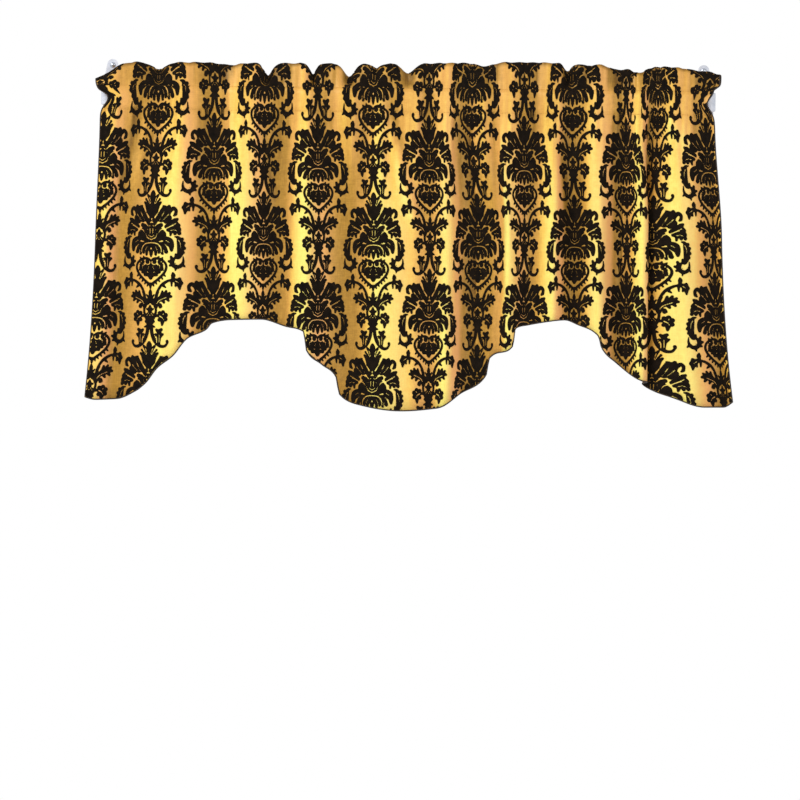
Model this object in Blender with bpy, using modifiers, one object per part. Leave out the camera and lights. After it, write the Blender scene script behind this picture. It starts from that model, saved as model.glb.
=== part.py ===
"""Scalloped rod-pocket window valance on a flat two-piece curtain rod with its wall brackets.

The model is in metres with +Z up. Its origin lies on the wall, midway between the two brackets, at the height
of the rod's middle. +X runs along the rod to the viewer's right, and the front of the valance faces -Y.
The tables below are in millimetres, and a place on the cloth is given by its distance across the flat panel.
"""

import math
from typing import NamedTuple

import bmesh
import bpy
import numpy as np

MM = 0.001
COLLECTION = "rod_pocket_valance"

# Cloth panel: a flat width gathered on the rod, one layer with its top turned to the back
PANEL_WIDTH = 976.0
CLOTH_THICKNESS = 1.2
LAYER_HALF_GAP = 0.95
PANEL_SHIFT_X = 2.0
COLUMN_SPACING = 10.0
STEP_CLEARANCE = 3.0

# Heights above the rod's middle
HEADER_TOP = 45.0
HEADER_RISE = 4.5
HEADER_RISE_AT = 640.0
HEADER_RISE_REACH = 170.0
HEADER_FOLD = 1.5
SEAM_Z = 13.9
OVER_ROD_Z = 13.45
POCKET_UPPER_Z = 7.0
POCKET_LOWER_Z = -12.9
STITCH_Z = -17.0
TURNED_END_Z = -20.5
LONGEST_DROP = 412.0

# How the panel's two side edges stand: drawn in on the rod and flared at the tails
EDGE_REACH = 32.0
POCKET_PINCH = 11.0
POCKET_PINCH_HEIGHT = 20.0
FLARE_LEFT = 15.0
FLARE_RIGHT = 21.0
FLARE_REACH = 70.0

# Heights of the skirt's rows, as shares of the drop from the pocket's stitches to the hem
SKIRT_ROWS = (0.05, 0.13, 0.26, 0.43, 0.63, 0.83, 1.0)

# Flat steel rod in two halves, one sliding in the other
ROD_WIDTH = 813.0
ROD_FRONT = 56.0
ROD_HEIGHT = 25.0
ROD_DEPTH = 6.0
ROD_WALL = 0.7
ROD_LIP = 4.0
ROD_ROUND = 1.3
ROD_CORNER = 9.0
ROD_SLIDE_GAP = 0.35
ROD_OVERLAP_HALF = 150.0
ROD_END_TO_WALL = 4.0

# Wall brackets and their screws
BRACKET_THICKNESS = 1.6
KNOB_X = 392.5
KNOB_RADIUS = 7.3
KNOB_CENTRE_Z = 42.7
PLATE_SHOULDER_Z = 20.0
PLATE_BOTTOM_Z = -34.0
PLATE_INNER_X = 381.0
PLATE_CORNER = 4.0
ARM_REACH = 34.0
SEAT_GAP = 0.3
HOLE_RADIUS = 2.3
SCREW_HEIGHTS = (KNOB_CENTRE_Z - 0.7, -24.0)
SCREW_SHANK_RADIUS = 1.9
SCREW_HEAD_RADIUS = 3.8
SCREW_HEAD_HEIGHT = 2.3


class Fold(NamedTuple):
    """A ridge or valley line of the hanging cloth, at the rod and near the hem."""

    cloth: float
    x_rod: float
    x_low: float
    out_rod: float
    out_low: float


class HemPoint(NamedTuple):
    """A point of the hem's cut line, as a drop below the rod's middle."""

    cloth: float
    drop: float


class Tuck(NamedTuple):
    """A place where the header above the rod dips and is pushed back."""

    cloth: float
    dip: float
    half_width: float
    push: float


class Level(NamedTuple):
    """How far the front of the cloth stands from the wall at a height, and how much of each fold shows there."""

    z: float
    plane: float
    rod_folds: float
    low_folds: float
    header_tucks: float


FOLDS = (
    Fold(0, -408, -411, 2, 2),
    Fold(14, -394, -398, 4, 4),
    Fold(35, -375, -379, 0, -7),
    Fold(68, -347, -354, -5, -2),
    Fold(118, -303, -308, 4, 8),
    Fold(158, -267, -267, -5, -7),
    Fold(210, -220, -219, 5, 9),
    Fold(265, -171, -171, -5, -8),
    Fold(303, -138, -136, 4, 10),
    Fold(330, -115, -112, -4, -1),
    Fold(366, -81, -78, 3, -9),
    Fold(386, -61, -59, -3, -2),
    Fold(409, -40, -37, 4, 8),
    Fold(428, -22, -19, -3, 7),
    Fold(453, 2, 5, 3, 2),
    Fold(478, 26, 29, -4, -3),
    Fold(500, 44, 49, 5, 8),
    Fold(540, 73, 82, -6, -10),
    Fold(570, 97, 108, 3, -6),
    Fold(590, 113, 122, -3, -2),
    Fold(604, 125, 132, 4, 8),
    Fold(645, 159, 160, -5, -6),
    Fold(680, 188, 191, 4, 7),
    Fold(710, 212, 217, -5, -12),
    Fold(750, 247, 251, 5, 10),
    Fold(785, 278, 280, -5, -10),
    Fold(828, 303, 310, 6, 9),
    Fold(838, 309, 317, 4, 4),
    Fold(852, 317, 311, -5, -9),
    Fold(906, 349, 361, 5, 10),
    Fold(956, 390, 401, -4, -7),
    Fold(976, 403, 412, 2, 3),
)

HEM = (
    HemPoint(0, 398),
    HemPoint(14, 401),
    HemPoint(42, 400),
    HemPoint(68, 390),
    HemPoint(82, 379),
    HemPoint(97, 359),
    HemPoint(118, 342),
    HemPoint(136, 319),
    HemPoint(160, 307),
    HemPoint(167, 299),
    HemPoint(195, 294),
    HemPoint(240, 293),
    HemPoint(276, 302),
    HemPoint(303, 309),
    HemPoint(307, 333),
    HemPoint(330, 352),
    HemPoint(350, 368),
    HemPoint(355, 391),
    HemPoint(384, 405),
    HemPoint(440, 412),
    HemPoint(490, 408),
    HemPoint(526, 389),
    HemPoint(566, 364),
    HemPoint(571, 342),
    HemPoint(615, 325),
    HemPoint(620, 302),
    HemPoint(645, 297),
    HemPoint(700, 290),
    HemPoint(720, 296),
    HemPoint(752, 311),
    HemPoint(757, 326),
    HemPoint(778, 344),
    HemPoint(828, 369),
    HemPoint(852, 373),
    HemPoint(884, 387),
    HemPoint(930, 403),
    HemPoint(955, 403),
    HemPoint(976, 396),
)

TUCKS = (
    Tuck(0, 22, 24, 0),
    Tuck(86, 9, 16, 8),
    Tuck(190, 3, 18, 5),
    Tuck(247, 16, 9, 11),
    Tuck(315, 15, 7, 11),
    Tuck(367, 17, 10, 12),
    Tuck(405, 6, 7, 6),
    Tuck(449, 13, 11, 10),
    Tuck(573, 5, 18, 7),
    Tuck(706, 10, 9, 10),
    Tuck(738, 3, 8, 5),
    Tuck(780, 6, 16, 6),
    Tuck(824, 9, 26, 5),
    Tuck(976, 10, 24, 2),
)

# The front of the cloth, from the header down; the planes near the rod clear its corners
LEVELS = (
    Level(60, 52.5, 0.5, 0.0, 1.0),
    Level(32, 53.0, 0.6, 0.0, 0.9),
    Level(SEAM_Z, 53.9, 0.25, 0.0, 0.15),
    Level(OVER_ROD_Z, 58.3, 0.05, 0.0, 0.0),
    Level(POCKET_UPPER_Z, 63.5, 0.7, 0.0, 0.0),
    Level(POCKET_LOWER_Z, 62.2, 0.6, 0.0, 0.0),
    Level(STITCH_Z, 57.2, 0.6, 0.0, 0.0),
    Level(-30, 58.0, 0.9, 0.1, 0.0),
    Level(-60, 58.5, 0.95, 0.25, 0.0),
    Level(-120, 59.0, 0.5, 0.7, 0.0),
    Level(-185, 59.0, 0.1, 1.0, 0.0),
    Level(-300, 59.0, 0.0, 1.15, 0.0),
    Level(-LONGEST_DROP, 60.0, 0.0, 1.3, 0.0),
)
BACK_OVER_ROD_PLANE = 47.9
BACK_POCKET_PLANE = 44.4
BACK_POCKET_FOLDS = 0.45


def smooth_curve(knots, values, at):
    """A smooth curve through the points that never overshoots them (a monotone cubic)."""
    knots, values = np.asarray(knots, float), np.asarray(values, float)
    widths = np.diff(knots)
    rises = np.diff(values) / widths
    slopes = np.zeros_like(values)
    same_way = rises[:-1] * rises[1:] > 0
    before, after = widths[:-1] + 2 * widths[1:], 2 * widths[:-1] + widths[1:]
    safe = np.where(rises == 0, 1.0, rises)
    mean = (before + after) / (before / safe[:-1] + after / safe[1:])
    slopes[1:-1] = np.where(same_way, mean, 0.0)
    slopes[0], slopes[-1] = rises[0], rises[-1]
    at = np.clip(np.asarray(at, float), knots[0], knots[-1])
    span = np.clip(np.searchsorted(knots, at, side="right") - 1, 0, len(widths) - 1)
    width = widths[span]
    t = (at - knots[span]) / width
    start, end = values[span], values[span + 1]
    return (
        start * (1 + 2 * t) * (1 - t) ** 2
        + slopes[span] * width * t * (1 - t) ** 2
        + end * t * t * (3 - 2 * t)
        + slopes[span + 1] * width * t * t * (t - 1)
    )


def column(rows, name):
    """One named column of a table."""
    return [getattr(row, name) for row in rows]


def fold_value(name, cloth):
    """A fold table column, read at places across the cloth."""
    return smooth_curve(column(FOLDS, "cloth"), column(FOLDS, name), cloth)


def hem_drop(cloth):
    """How far the hem hangs below the rod's middle."""
    return smooth_curve(column(HEM, "cloth"), column(HEM, "drop"), cloth)


def header_top(cloth):
    """Height of the header's upper edge, with its dips."""
    rise = HEADER_RISE * np.exp(-(((cloth - HEADER_RISE_AT) / HEADER_RISE_REACH) ** 2))
    dips = sum(t.dip * np.exp(-(((cloth - t.cloth) / t.half_width) ** 2)) for t in TUCKS)
    return HEADER_TOP + rise - dips


def header_push(cloth):
    """How far the header's tucks are pushed back towards the wall."""
    return sum(t.push * np.exp(-(((cloth - t.cloth) / t.half_width) ** 2)) for t in TUCKS)


def level_value(name, z):
    """A level table column, read at a height."""
    lowest_first = LEVELS[::-1]
    return np.interp(z, column(lowest_first, "z"), column(lowest_first, name))


def across(cloth, z):
    """X of the hanging cloth: rod folds above, hem folds below, edges pinched on the rod and flared at the tails."""
    low_share = np.clip((-z - 20.0) / 160.0, 0.0, 1.0)
    low_share = low_share * low_share * (3 - 2 * low_share)
    x = fold_value("x_rod", cloth) * (1 - low_share) + fold_value("x_low", cloth) * low_share
    pinch = POCKET_PINCH * np.exp(-((z / POCKET_PINCH_HEIGHT) ** 2))
    from_left, from_right = cloth, PANEL_WIDTH - cloth
    x = x + pinch * (np.exp(-((from_left / EDGE_REACH) ** 2)) - np.exp(-((from_right / EDGE_REACH) ** 2)))
    flare = np.clip(-z / LONGEST_DROP, 0.0, 1.0) ** 3
    x = x - FLARE_LEFT * flare * np.exp(-((from_left / FLARE_REACH) ** 2))
    x = x + FLARE_RIGHT * flare * np.exp(-((from_right / FLARE_REACH) ** 2))
    return x + PANEL_SHIFT_X


def front_y(cloth, z):
    """Y of the front layer's middle."""
    out = (
        level_value("plane", z)
        + level_value("rod_folds", z) * fold_value("out_rod", cloth)
        + level_value("low_folds", z) * fold_value("out_low", cloth)
        - level_value("header_tucks", z) * header_push(cloth)
    )
    return -out


def layer_row(cloth, z, outward):
    """A row of points on the front curve, moved square to the cloth by outward (towards the room if positive)."""
    x, y = across(cloth, z), front_y(cloth, z)
    run_x, run_y = np.gradient(x, cloth), np.gradient(y, cloth)
    length = np.hypot(run_x, run_y)
    return np.column_stack([x + outward * run_y / length, y - outward * run_x / length, z])


def back_pocket_row(cloth, z, plane, folds):
    """A row of points behind the rod."""
    y = -(plane + folds * fold_value("out_rod", cloth))
    return np.column_stack([across(cloth, z), y, z])


def cloth_columns():
    """Places across the cloth where the grid has a column: evenly spaced, with a pair at each step of the hem."""
    knots, drops = np.array(column(HEM, "cloth"), float), np.array(column(HEM, "drop"), float)
    steep = np.abs(np.diff(drops) / np.diff(knots)) > 2.5
    steps = sorted({*knots[:-1][steep], *knots[1:][steep]})
    even = np.linspace(0, PANEL_WIDTH, round(PANEL_WIDTH / COLUMN_SPACING) + 1)
    kept = [c for c in even if min(abs(c - s) for s in steps) > STEP_CLEARANCE]
    return np.array(sorted([*kept, *steps]))


def valance_rows():
    """Rows of the sheet from the hem up the front, over the header and down behind the rod."""
    cloth = cloth_columns()
    level = np.ones_like(cloth)
    top = header_top(cloth)
    middle = (top + SEAM_Z) / 2
    drop = hem_drop(cloth)
    skirt = [layer_row(cloth, STITCH_Z - share * (drop + STITCH_Z), 0.0) for share in SKIRT_ROWS]
    front = [
        layer_row(cloth, top - HEADER_FOLD, LAYER_HALF_GAP),
        layer_row(cloth, middle, LAYER_HALF_GAP),
        layer_row(cloth, SEAM_Z * level, LAYER_HALF_GAP),
        layer_row(cloth, OVER_ROD_Z * level, 0.0),
        layer_row(cloth, POCKET_UPPER_Z * level, 0.0),
        layer_row(cloth, POCKET_LOWER_Z * level, 0.0),
        layer_row(cloth, STITCH_Z * level, LAYER_HALF_GAP),
    ]
    fold = [layer_row(cloth, top, 0.0)]
    back = [
        layer_row(cloth, top - HEADER_FOLD, -LAYER_HALF_GAP),
        layer_row(cloth, middle, -LAYER_HALF_GAP),
        layer_row(cloth, SEAM_Z * level, -LAYER_HALF_GAP),
        back_pocket_row(cloth, OVER_ROD_Z * level, BACK_OVER_ROD_PLANE, 0.0),
        back_pocket_row(cloth, POCKET_UPPER_Z * level, BACK_POCKET_PLANE, BACK_POCKET_FOLDS),
        back_pocket_row(cloth, POCKET_LOWER_Z * level, BACK_POCKET_PLANE, BACK_POCKET_FOLDS),
        layer_row(cloth, STITCH_Z * level, -LAYER_HALF_GAP),
        layer_row(cloth, TURNED_END_Z * level, -2 * LAYER_HALF_GAP),
    ]
    return [*skirt[::-1], *front[::-1], *fold, *back]


def new_collection(name):
    """A collection in the scene."""
    made = bpy.data.collections.new(name)
    bpy.context.scene.collection.children.link(made)
    return made


def finish(name, colour, roughness, metallic=0.0):
    """A plain material in the object's own colour."""
    material = bpy.data.materials.new(name)
    material.use_nodes = True
    shader = material.node_tree.nodes["Principled BSDF"]
    shader.inputs["Base Color"].default_value = (*colour, 1.0)
    shader.inputs["Roughness"].default_value = roughness
    shader.inputs["Metallic"].default_value = metallic
    material.diffuse_color = (*colour, 1.0)
    return material


def add_object(name, mesh, material, collection):
    """An object for a mesh, in its collection and with its own material."""
    made = bpy.data.objects.new(name, mesh)
    mesh.materials.append(material)
    collection.objects.link(made)
    return made


def sheet_object(name, rows, thickness, material, collection):
    """An open grid of rows of points, in millimetres, given its thickness by a Solidify modifier."""
    shape = bmesh.new()
    grid = [[shape.verts.new(tuple(float(v) * MM for v in point)) for point in row] for row in rows]
    for lower, upper in zip(grid, grid[1:]):
        for i in range(len(lower) - 1):
            shape.faces.new((lower[i], lower[i + 1], upper[i + 1], upper[i]))
    mesh = bpy.data.meshes.new(name)
    shape.to_mesh(mesh)
    shape.free()
    mesh.shade_smooth()
    made = add_object(name, mesh, material, collection)
    wall = made.modifiers.new("thickness", "SOLIDIFY")
    wall.thickness = thickness * MM
    wall.offset = 0.0
    wall.use_quality_normals = True
    return made


def rod_section(shrink):
    """Middle line of the channel's wall, as (depth from the front face, height), a size smaller by shrink all round."""
    middle = ROD_WALL / 2 + shrink
    front, rear = middle, ROD_DEPTH - middle
    top = ROD_HEIGHT / 2 - middle
    rounded = ROD_ROUND - ROD_WALL / 2
    corner = [(math.radians(a), rounded) for a in (0, 45, 90)]
    upper = [(rear, top - ROD_LIP)]
    upper += [(rear - r + r * math.cos(a), top - r + r * math.sin(a)) for a, r in corner]
    upper += [(front + r - r * math.sin(a), top - r + r * math.cos(a)) for a, r in corner]
    lower = [(depth, -height) for depth, height in reversed(upper)]
    return upper + lower


def rod_path(side, inner_end):
    """The front run, the rounded corner and the return, as (x, y, inward x, inward y) in plan."""
    outer_x = ROD_WIDTH / 2
    centre_x, centre_y = outer_x - ROD_CORNER, -(ROD_FRONT - ROD_CORNER)
    path = [(inner_end, -ROD_FRONT, 0.0, 1.0)]
    for degrees in range(-90, 1, 15):
        a = math.radians(degrees)
        path.append((
            side * (centre_x + ROD_CORNER * math.cos(a)),
            centre_y + ROD_CORNER * math.sin(a),
            -side * math.cos(a),
            -math.sin(a),
        ))
    path.append((side * outer_x, -ROD_END_TO_WALL, -side, 0.0))
    return path


def rod_half(name, side, shrink, material, collection):
    """Half of the rod: a channel bent from one strip, with its return to the wall."""
    section = rod_section(shrink)
    rows = [
        [(x + inward_x * depth, y + inward_y * depth, height) for depth, height in section]
        for x, y, inward_x, inward_y in rod_path(side, -side * ROD_OVERLAP_HALF)
    ]
    made = sheet_object(name, rows, ROD_WALL, material, collection)
    made.modifiers["thickness"].use_even_offset = True
    return made


def plate_outline(outer_x):
    """The bracket plate seen from the front: a knob on shoulders, then straight sides and rounded lower corners."""
    points = [(outer_x, PLATE_SHOULDER_Z)]
    for degrees in range(0, 181, 20):
        a = math.radians(degrees)
        points.append((KNOB_X + KNOB_RADIUS * math.cos(a), KNOB_CENTRE_Z + KNOB_RADIUS * math.sin(a)))
    points.append((PLATE_INNER_X, PLATE_SHOULDER_Z))
    for centre_x, first in ((PLATE_INNER_X + PLATE_CORNER, 180), (outer_x - PLATE_CORNER, 270)):
        for degrees in range(first, first + 91, 30):
            a = math.radians(degrees)
            points.append((
                centre_x + PLATE_CORNER * math.cos(a),
                PLATE_BOTTOM_Z + PLATE_CORNER + PLATE_CORNER * math.sin(a),
            ))
    return points


def circle(centre_x, centre_z, radius, sides=20):
    """Points of a round hole."""
    turns = [2 * math.pi * i / sides for i in range(sides)]
    return [(centre_x + radius * math.cos(a), centre_z + radius * math.sin(a)) for a in turns]


def flat_plate(name, outlines, thickness, collection):
    """A plate standing on the wall plane, cut from a filled 2D curve and made a mesh."""
    curve = bpy.data.curves.new(name, "CURVE")
    curve.dimensions = "2D"
    curve.fill_mode = "BOTH"
    curve.extrude = thickness / 2 * MM
    for outline in outlines:
        spline = curve.splines.new("POLY")
        spline.points.add(len(outline) - 1)
        for point, (x, z) in zip(spline.points, outline):
            point.co = (x * MM, z * MM, 0.0, 1.0)
        spline.use_cyclic_u = True
    drawn = bpy.data.objects.new(name + "_outline", curve)
    collection.objects.link(drawn)
    drawn.rotation_euler = (math.radians(90), 0, 0)
    drawn.location = (0, -thickness / 2 * MM, 0)
    bpy.context.view_layer.update()
    mesh = bpy.data.meshes.new_from_object(drawn.evaluated_get(bpy.context.evaluated_depsgraph_get()))
    mesh.transform(drawn.matrix_world)
    bpy.data.objects.remove(drawn)
    shape = bmesh.new()
    shape.from_mesh(mesh)
    bmesh.ops.remove_doubles(shape, verts=shape.verts, dist=0.00001)
    shape.to_mesh(mesh)
    shape.free()
    return mesh


def bracket(name, side, shrink, material, collection, helpers):
    """A wall bracket: the flat plate with its two screw holes, and the arm that the rod's return slides over."""
    arm_outer = ROD_WIDTH / 2 - shrink - ROD_WALL - SEAT_GAP
    plate_outer = arm_outer + 0.2
    arm_half_height = ROD_HEIGHT / 2 - shrink - ROD_WALL - SEAT_GAP
    outline = [(side * x, z) for x, z in plate_outline(plate_outer)]
    holes = [circle(side * KNOB_X, z, HOLE_RADIUS) for z in SCREW_HEIGHTS]
    mesh = flat_plate(name, [outline, *holes], BRACKET_THICKNESS, helpers)
    plate = add_object(name, mesh, material, collection)
    shape = bmesh.new()
    bmesh.ops.create_cube(shape, size=1.0)
    size = (BRACKET_THICKNESS, ARM_REACH, 2 * arm_half_height)
    rear = -BRACKET_THICKNESS / 3
    middle = (side * (arm_outer - BRACKET_THICKNESS / 2), rear - ARM_REACH / 2, 0.0)
    bmesh.ops.scale(shape, vec=[v * MM for v in size], verts=shape.verts)
    bmesh.ops.translate(shape, vec=[v * MM for v in middle], verts=shape.verts)
    arm_mesh = bpy.data.meshes.new(name + "_arm")
    shape.to_mesh(arm_mesh)
    shape.free()
    arm = add_object(name + "_arm", arm_mesh, material, helpers)
    arm.hide_render = True
    arm.display_type = "WIRE"
    joined = plate.modifiers.new("arm", "BOOLEAN")
    joined.operation = "UNION"
    joined.object = arm
    return plate


def screw_object(name, x, z, material, collection):
    """A domed screw, turned round its own axis, with its head on the plate and its shank in the hole."""
    profile = (
        (0.0, SCREW_HEAD_HEIGHT),
        (0.55 * SCREW_HEAD_RADIUS, 0.85 * SCREW_HEAD_HEIGHT),
        (0.9 * SCREW_HEAD_RADIUS, 0.5 * SCREW_HEAD_HEIGHT),
        (SCREW_HEAD_RADIUS, 0.0),
        (SCREW_SHANK_RADIUS, 0.0),
        (SCREW_SHANK_RADIUS, -BRACKET_THICKNESS),
        (0.0, -BRACKET_THICKNESS),
    )
    mesh = bpy.data.meshes.new(name)
    edges = [(i, i + 1) for i in range(len(profile) - 1)]
    mesh.from_pydata([(r * MM, 0.0, h * MM) for r, h in profile], edges, [])
    made = add_object(name, mesh, material, collection)
    turned = made.modifiers.new("turned", "SCREW")
    turned.axis = "Z"
    turned.steps = turned.render_steps = 20
    turned.use_merge_vertices = True
    turned.merge_threshold = 0.00005
    made.rotation_euler = (math.radians(90), 0, 0)
    made.location = (x * MM, -(BRACKET_THICKNESS + SEAT_GAP) * MM, z * MM)
    return made


def main():
    """Builds the valance, the rod's two halves, the brackets and their screws."""
    for old in list(bpy.data.objects):
        bpy.data.objects.remove(old)
    parts = new_collection(COLLECTION)
    helpers = new_collection("helpers")

    damask = finish("gold_flocked_damask", (0.62, 0.36, 0.08), 0.42)
    sheet_object("valance", valance_rows(), CLOTH_THICKNESS, damask, parts)

    inner_shrink = ROD_WALL + ROD_SLIDE_GAP
    for name, side, shrink in (("left", -1, inner_shrink), ("right", 1, 0.0)):
        enamel = finish(f"rod_enamel_{name}", (0.78, 0.80, 0.83), 0.35)
        rod_half(f"rod_half_{name}", side, shrink, enamel, parts)
        plate_enamel = finish(f"bracket_enamel_{name}", (0.76, 0.79, 0.84), 0.38)
        bracket(f"bracket_{name}", side, shrink, plate_enamel, parts, helpers)
        for place, height in zip(("upper", "lower"), SCREW_HEIGHTS):
            steel = finish(f"screw_{name}_{place}", (0.7, 0.72, 0.74), 0.3, metallic=1.0)
            screw_object(f"screw_{name}_{place}", side * KNOB_X, height, steel, parts)


main()
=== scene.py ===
"""A scalloped rod-pocket valance of gold taffeta with black flocked damask, gathered on a white curtain rod.

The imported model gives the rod, the brackets and the valance's plain solid. This script hangs the real
cloth in that solid's place: a gathered taffeta panel, its flocked damask, the overlocked edge and the
pocket's stitches. Lengths in the tables are in millimetres, and a place on the cloth is (across the flat
panel, down its front face).
"""

import logging
import math
from dataclasses import dataclass, field
from enum import Enum
from typing import NamedTuple, Sequence

import bpy
import numpy as np
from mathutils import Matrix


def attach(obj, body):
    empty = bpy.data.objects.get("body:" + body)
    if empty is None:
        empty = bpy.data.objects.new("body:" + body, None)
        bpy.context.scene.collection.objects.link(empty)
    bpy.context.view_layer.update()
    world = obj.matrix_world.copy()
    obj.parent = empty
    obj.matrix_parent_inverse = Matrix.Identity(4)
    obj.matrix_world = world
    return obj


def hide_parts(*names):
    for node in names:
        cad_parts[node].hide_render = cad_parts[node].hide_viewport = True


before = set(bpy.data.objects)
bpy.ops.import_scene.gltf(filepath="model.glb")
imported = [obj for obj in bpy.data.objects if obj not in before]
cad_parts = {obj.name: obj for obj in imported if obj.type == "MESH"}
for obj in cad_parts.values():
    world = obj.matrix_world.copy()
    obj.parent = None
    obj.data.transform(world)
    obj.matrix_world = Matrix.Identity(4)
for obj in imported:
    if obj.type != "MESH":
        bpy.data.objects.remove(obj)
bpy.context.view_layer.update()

MM = 0.001
LOG = logging.getLogger("valance")
Path = tuple[tuple[float, float], ...]


class Laid(Enum):
    """What a stroke of the damask leaves on the cloth."""

    PILE = "pile"
    GROUND = "ground"


class Slot(Enum):
    """The record's material slot for the cloth; nothing in this script uses it."""

    CLOTH = "flocked_damask"


class Fold(NamedTuple):
    """A ridge or valley line of the hanging cloth, at the rod and near the hem."""

    cloth: float
    x_rod: float
    x_low: float
    out_rod: float
    out_low: float


class HemPoint(NamedTuple):
    """A point of the hem's cut line, as a drop below the rod's middle."""

    cloth: float
    drop: float


class Tuck(NamedTuple):
    """A place where the header above the rod dips and is pushed back."""

    cloth: float
    dip: float
    half_width: float
    push: float


class Station(NamedTuple):
    """The cloth's front at a distance down the panel: its height, stand-off and share of each fold."""

    down: float
    plane: float
    rod_folds: float
    low_folds: float
    header_tucks: float
    puckers: float


class Lap(NamedTuple):
    """A sharp fold whose right side lies over its left, from a place near the rod to one near the hem."""

    across_top: float
    across_low: float
    down_from: float
    down_to: float
    height: float
    width: float


class Crease(NamedTuple):
    """A soft slanting fold on the skirt, from one place on the cloth to another."""

    across_from: float
    down_from: float
    across_to: float
    down_to: float
    half_width: float
    height: float


FOLDS = (
    Fold(0, -408, -411, 2, 2),
    Fold(14, -394, -398, 4, 4),
    Fold(35, -375, -379, 0, -7),
    Fold(68, -347, -354, -5, -2),
    Fold(118, -303, -308, 4, 8),
    Fold(158, -267, -267, -5, -7),
    Fold(210, -220, -219, 5, 9),
    Fold(265, -171, -171, -5, -8),
    Fold(303, -138, -136, 4, 10),
    Fold(330, -115, -112, -4, -1),
    Fold(366, -81, -78, 3, -9),
    Fold(386, -61, -59, -3, -2),
    Fold(409, -40, -37, 4, 8),
    Fold(428, -22, -19, -3, 7),
    Fold(453, 2, 5, 3, 2),
    Fold(478, 26, 29, -4, -3),
    Fold(500, 44, 49, 5, 8),
    Fold(540, 73, 82, -6, -10),
    Fold(570, 97, 108, 3, -6),
    Fold(590, 113, 122, -3, -2),
    Fold(604, 125, 132, 4, 8),
    Fold(645, 159, 160, -5, -6),
    Fold(680, 188, 191, 4, 7),
    Fold(710, 212, 217, -5, -12),
    Fold(750, 247, 251, 5, 10),
    Fold(785, 278, 280, -5, -10),
    Fold(828, 303, 310, 6, 9),
    Fold(838, 309, 317, 4, 4),
    Fold(852, 317, 311, -5, -9),
    Fold(906, 349, 361, 5, 10),
    Fold(956, 390, 401, -4, -7),
    Fold(976, 403, 412, 2, 3),
)

HEM = (
    HemPoint(0, 398),
    HemPoint(14, 401),
    HemPoint(42, 400),
    HemPoint(68, 390),
    HemPoint(82, 379),
    HemPoint(97, 359),
    HemPoint(118, 342),
    HemPoint(136, 319),
    HemPoint(160, 307),
    HemPoint(167, 299),
    HemPoint(195, 294),
    HemPoint(240, 293),
    HemPoint(276, 302),
    HemPoint(303, 309),
    HemPoint(307, 333),
    HemPoint(330, 352),
    HemPoint(350, 368),
    HemPoint(355, 391),
    HemPoint(384, 405),
    HemPoint(440, 412),
    HemPoint(490, 408),
    HemPoint(526, 389),
    HemPoint(566, 364),
    HemPoint(571, 342),
    HemPoint(615, 325),
    HemPoint(620, 302),
    HemPoint(645, 297),
    HemPoint(700, 290),
    HemPoint(720, 296),
    HemPoint(752, 311),
    HemPoint(757, 326),
    HemPoint(778, 344),
    HemPoint(828, 369),
    HemPoint(852, 373),
    HemPoint(884, 387),
    HemPoint(930, 403),
    HemPoint(955, 403),
    HemPoint(976, 396),
)

TUCKS = (
    Tuck(0, 22, 24, 0),
    Tuck(86, 9, 16, 8),
    Tuck(190, 3, 18, 5),
    Tuck(247, 16, 9, 11),
    Tuck(315, 15, 7, 11),
    Tuck(367, 17, 10, 12),
    Tuck(405, 6, 7, 6),
    Tuck(449, 13, 11, 10),
    Tuck(573, 5, 18, 7),
    Tuck(706, 10, 9, 10),
    Tuck(738, 3, 8, 5),
    Tuck(780, 6, 16, 6),
    Tuck(824, 9, 26, 5),
    Tuck(948, 5, 24, 2),
    Tuck(976, 8, 14, 2),
)

# From the header's upper fold, over the rod and its two rows of stitches, down to the hem
STATIONS = (
    Station(-1, 55.0, 0.6, 0.0, 1.0, 0.6),
    Station(14, 56.2, 0.7, 0.0, 0.9, 0.6),
    Station(31, 58.6, 0.5, 0.0, 0.2, 0.45),
    Station(35.5, 60.4, 0.4, 0.0, 0.05, 0.35),
    Station(42.5, 62.5, 0.7, 0.0, 0.0, 0.35),
    Station(62.5, 62.0, 0.7, 0.0, 0.0, 0.35),
    Station(69, 60.3, 0.75, 0.0, 0.0, 0.5),
    Station(82, 59.5, 0.95, 0.1, 0.0, 0.6),
    Station(112, 58.8, 0.95, 0.25, 0.0, 0.4),
    Station(172, 59.0, 0.5, 0.7, 0.0, 0.2),
    Station(237, 59.0, 0.1, 1.0, 0.0, 0.1),
    Station(352, 59.0, 0.0, 1.15, 0.0, 0.1),
    Station(464, 60.0, 0.0, 1.3, 0.0, 0.15),
)

LAPS = (
    Lap(189, 193, -8, 290, 1.8, 12),
    Lap(551, 549, 70, 470, 2.6, 14),
    Lap(597, 599, 74, 330, 1.5, 10),
    Lap(791, 788, 60, 470, 1.6, 11),
)

CREASES = (
    Crease(55, 62, 36, 182, 7, -2.2),
    Crease(72, 66, 54, 176, 8, 1.8),
    Crease(419, 74, 456, 219, 7, 2.4),
    Crease(434, 80, 470, 214, 6, -2.0),
    Crease(889, 72, 950, 128, 8, 2.2),
    Crease(132, 240, 112, 330, 10, 1.6),
    Crease(560, 200, 540, 330, 9, -1.8),
    Crease(690, 96, 716, 250, 9, -1.6),
    Crease(238, 86, 262, 190, 7, -1.6),
    Crease(596, 90, 606, 240, 5, 1.6),
)


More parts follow.
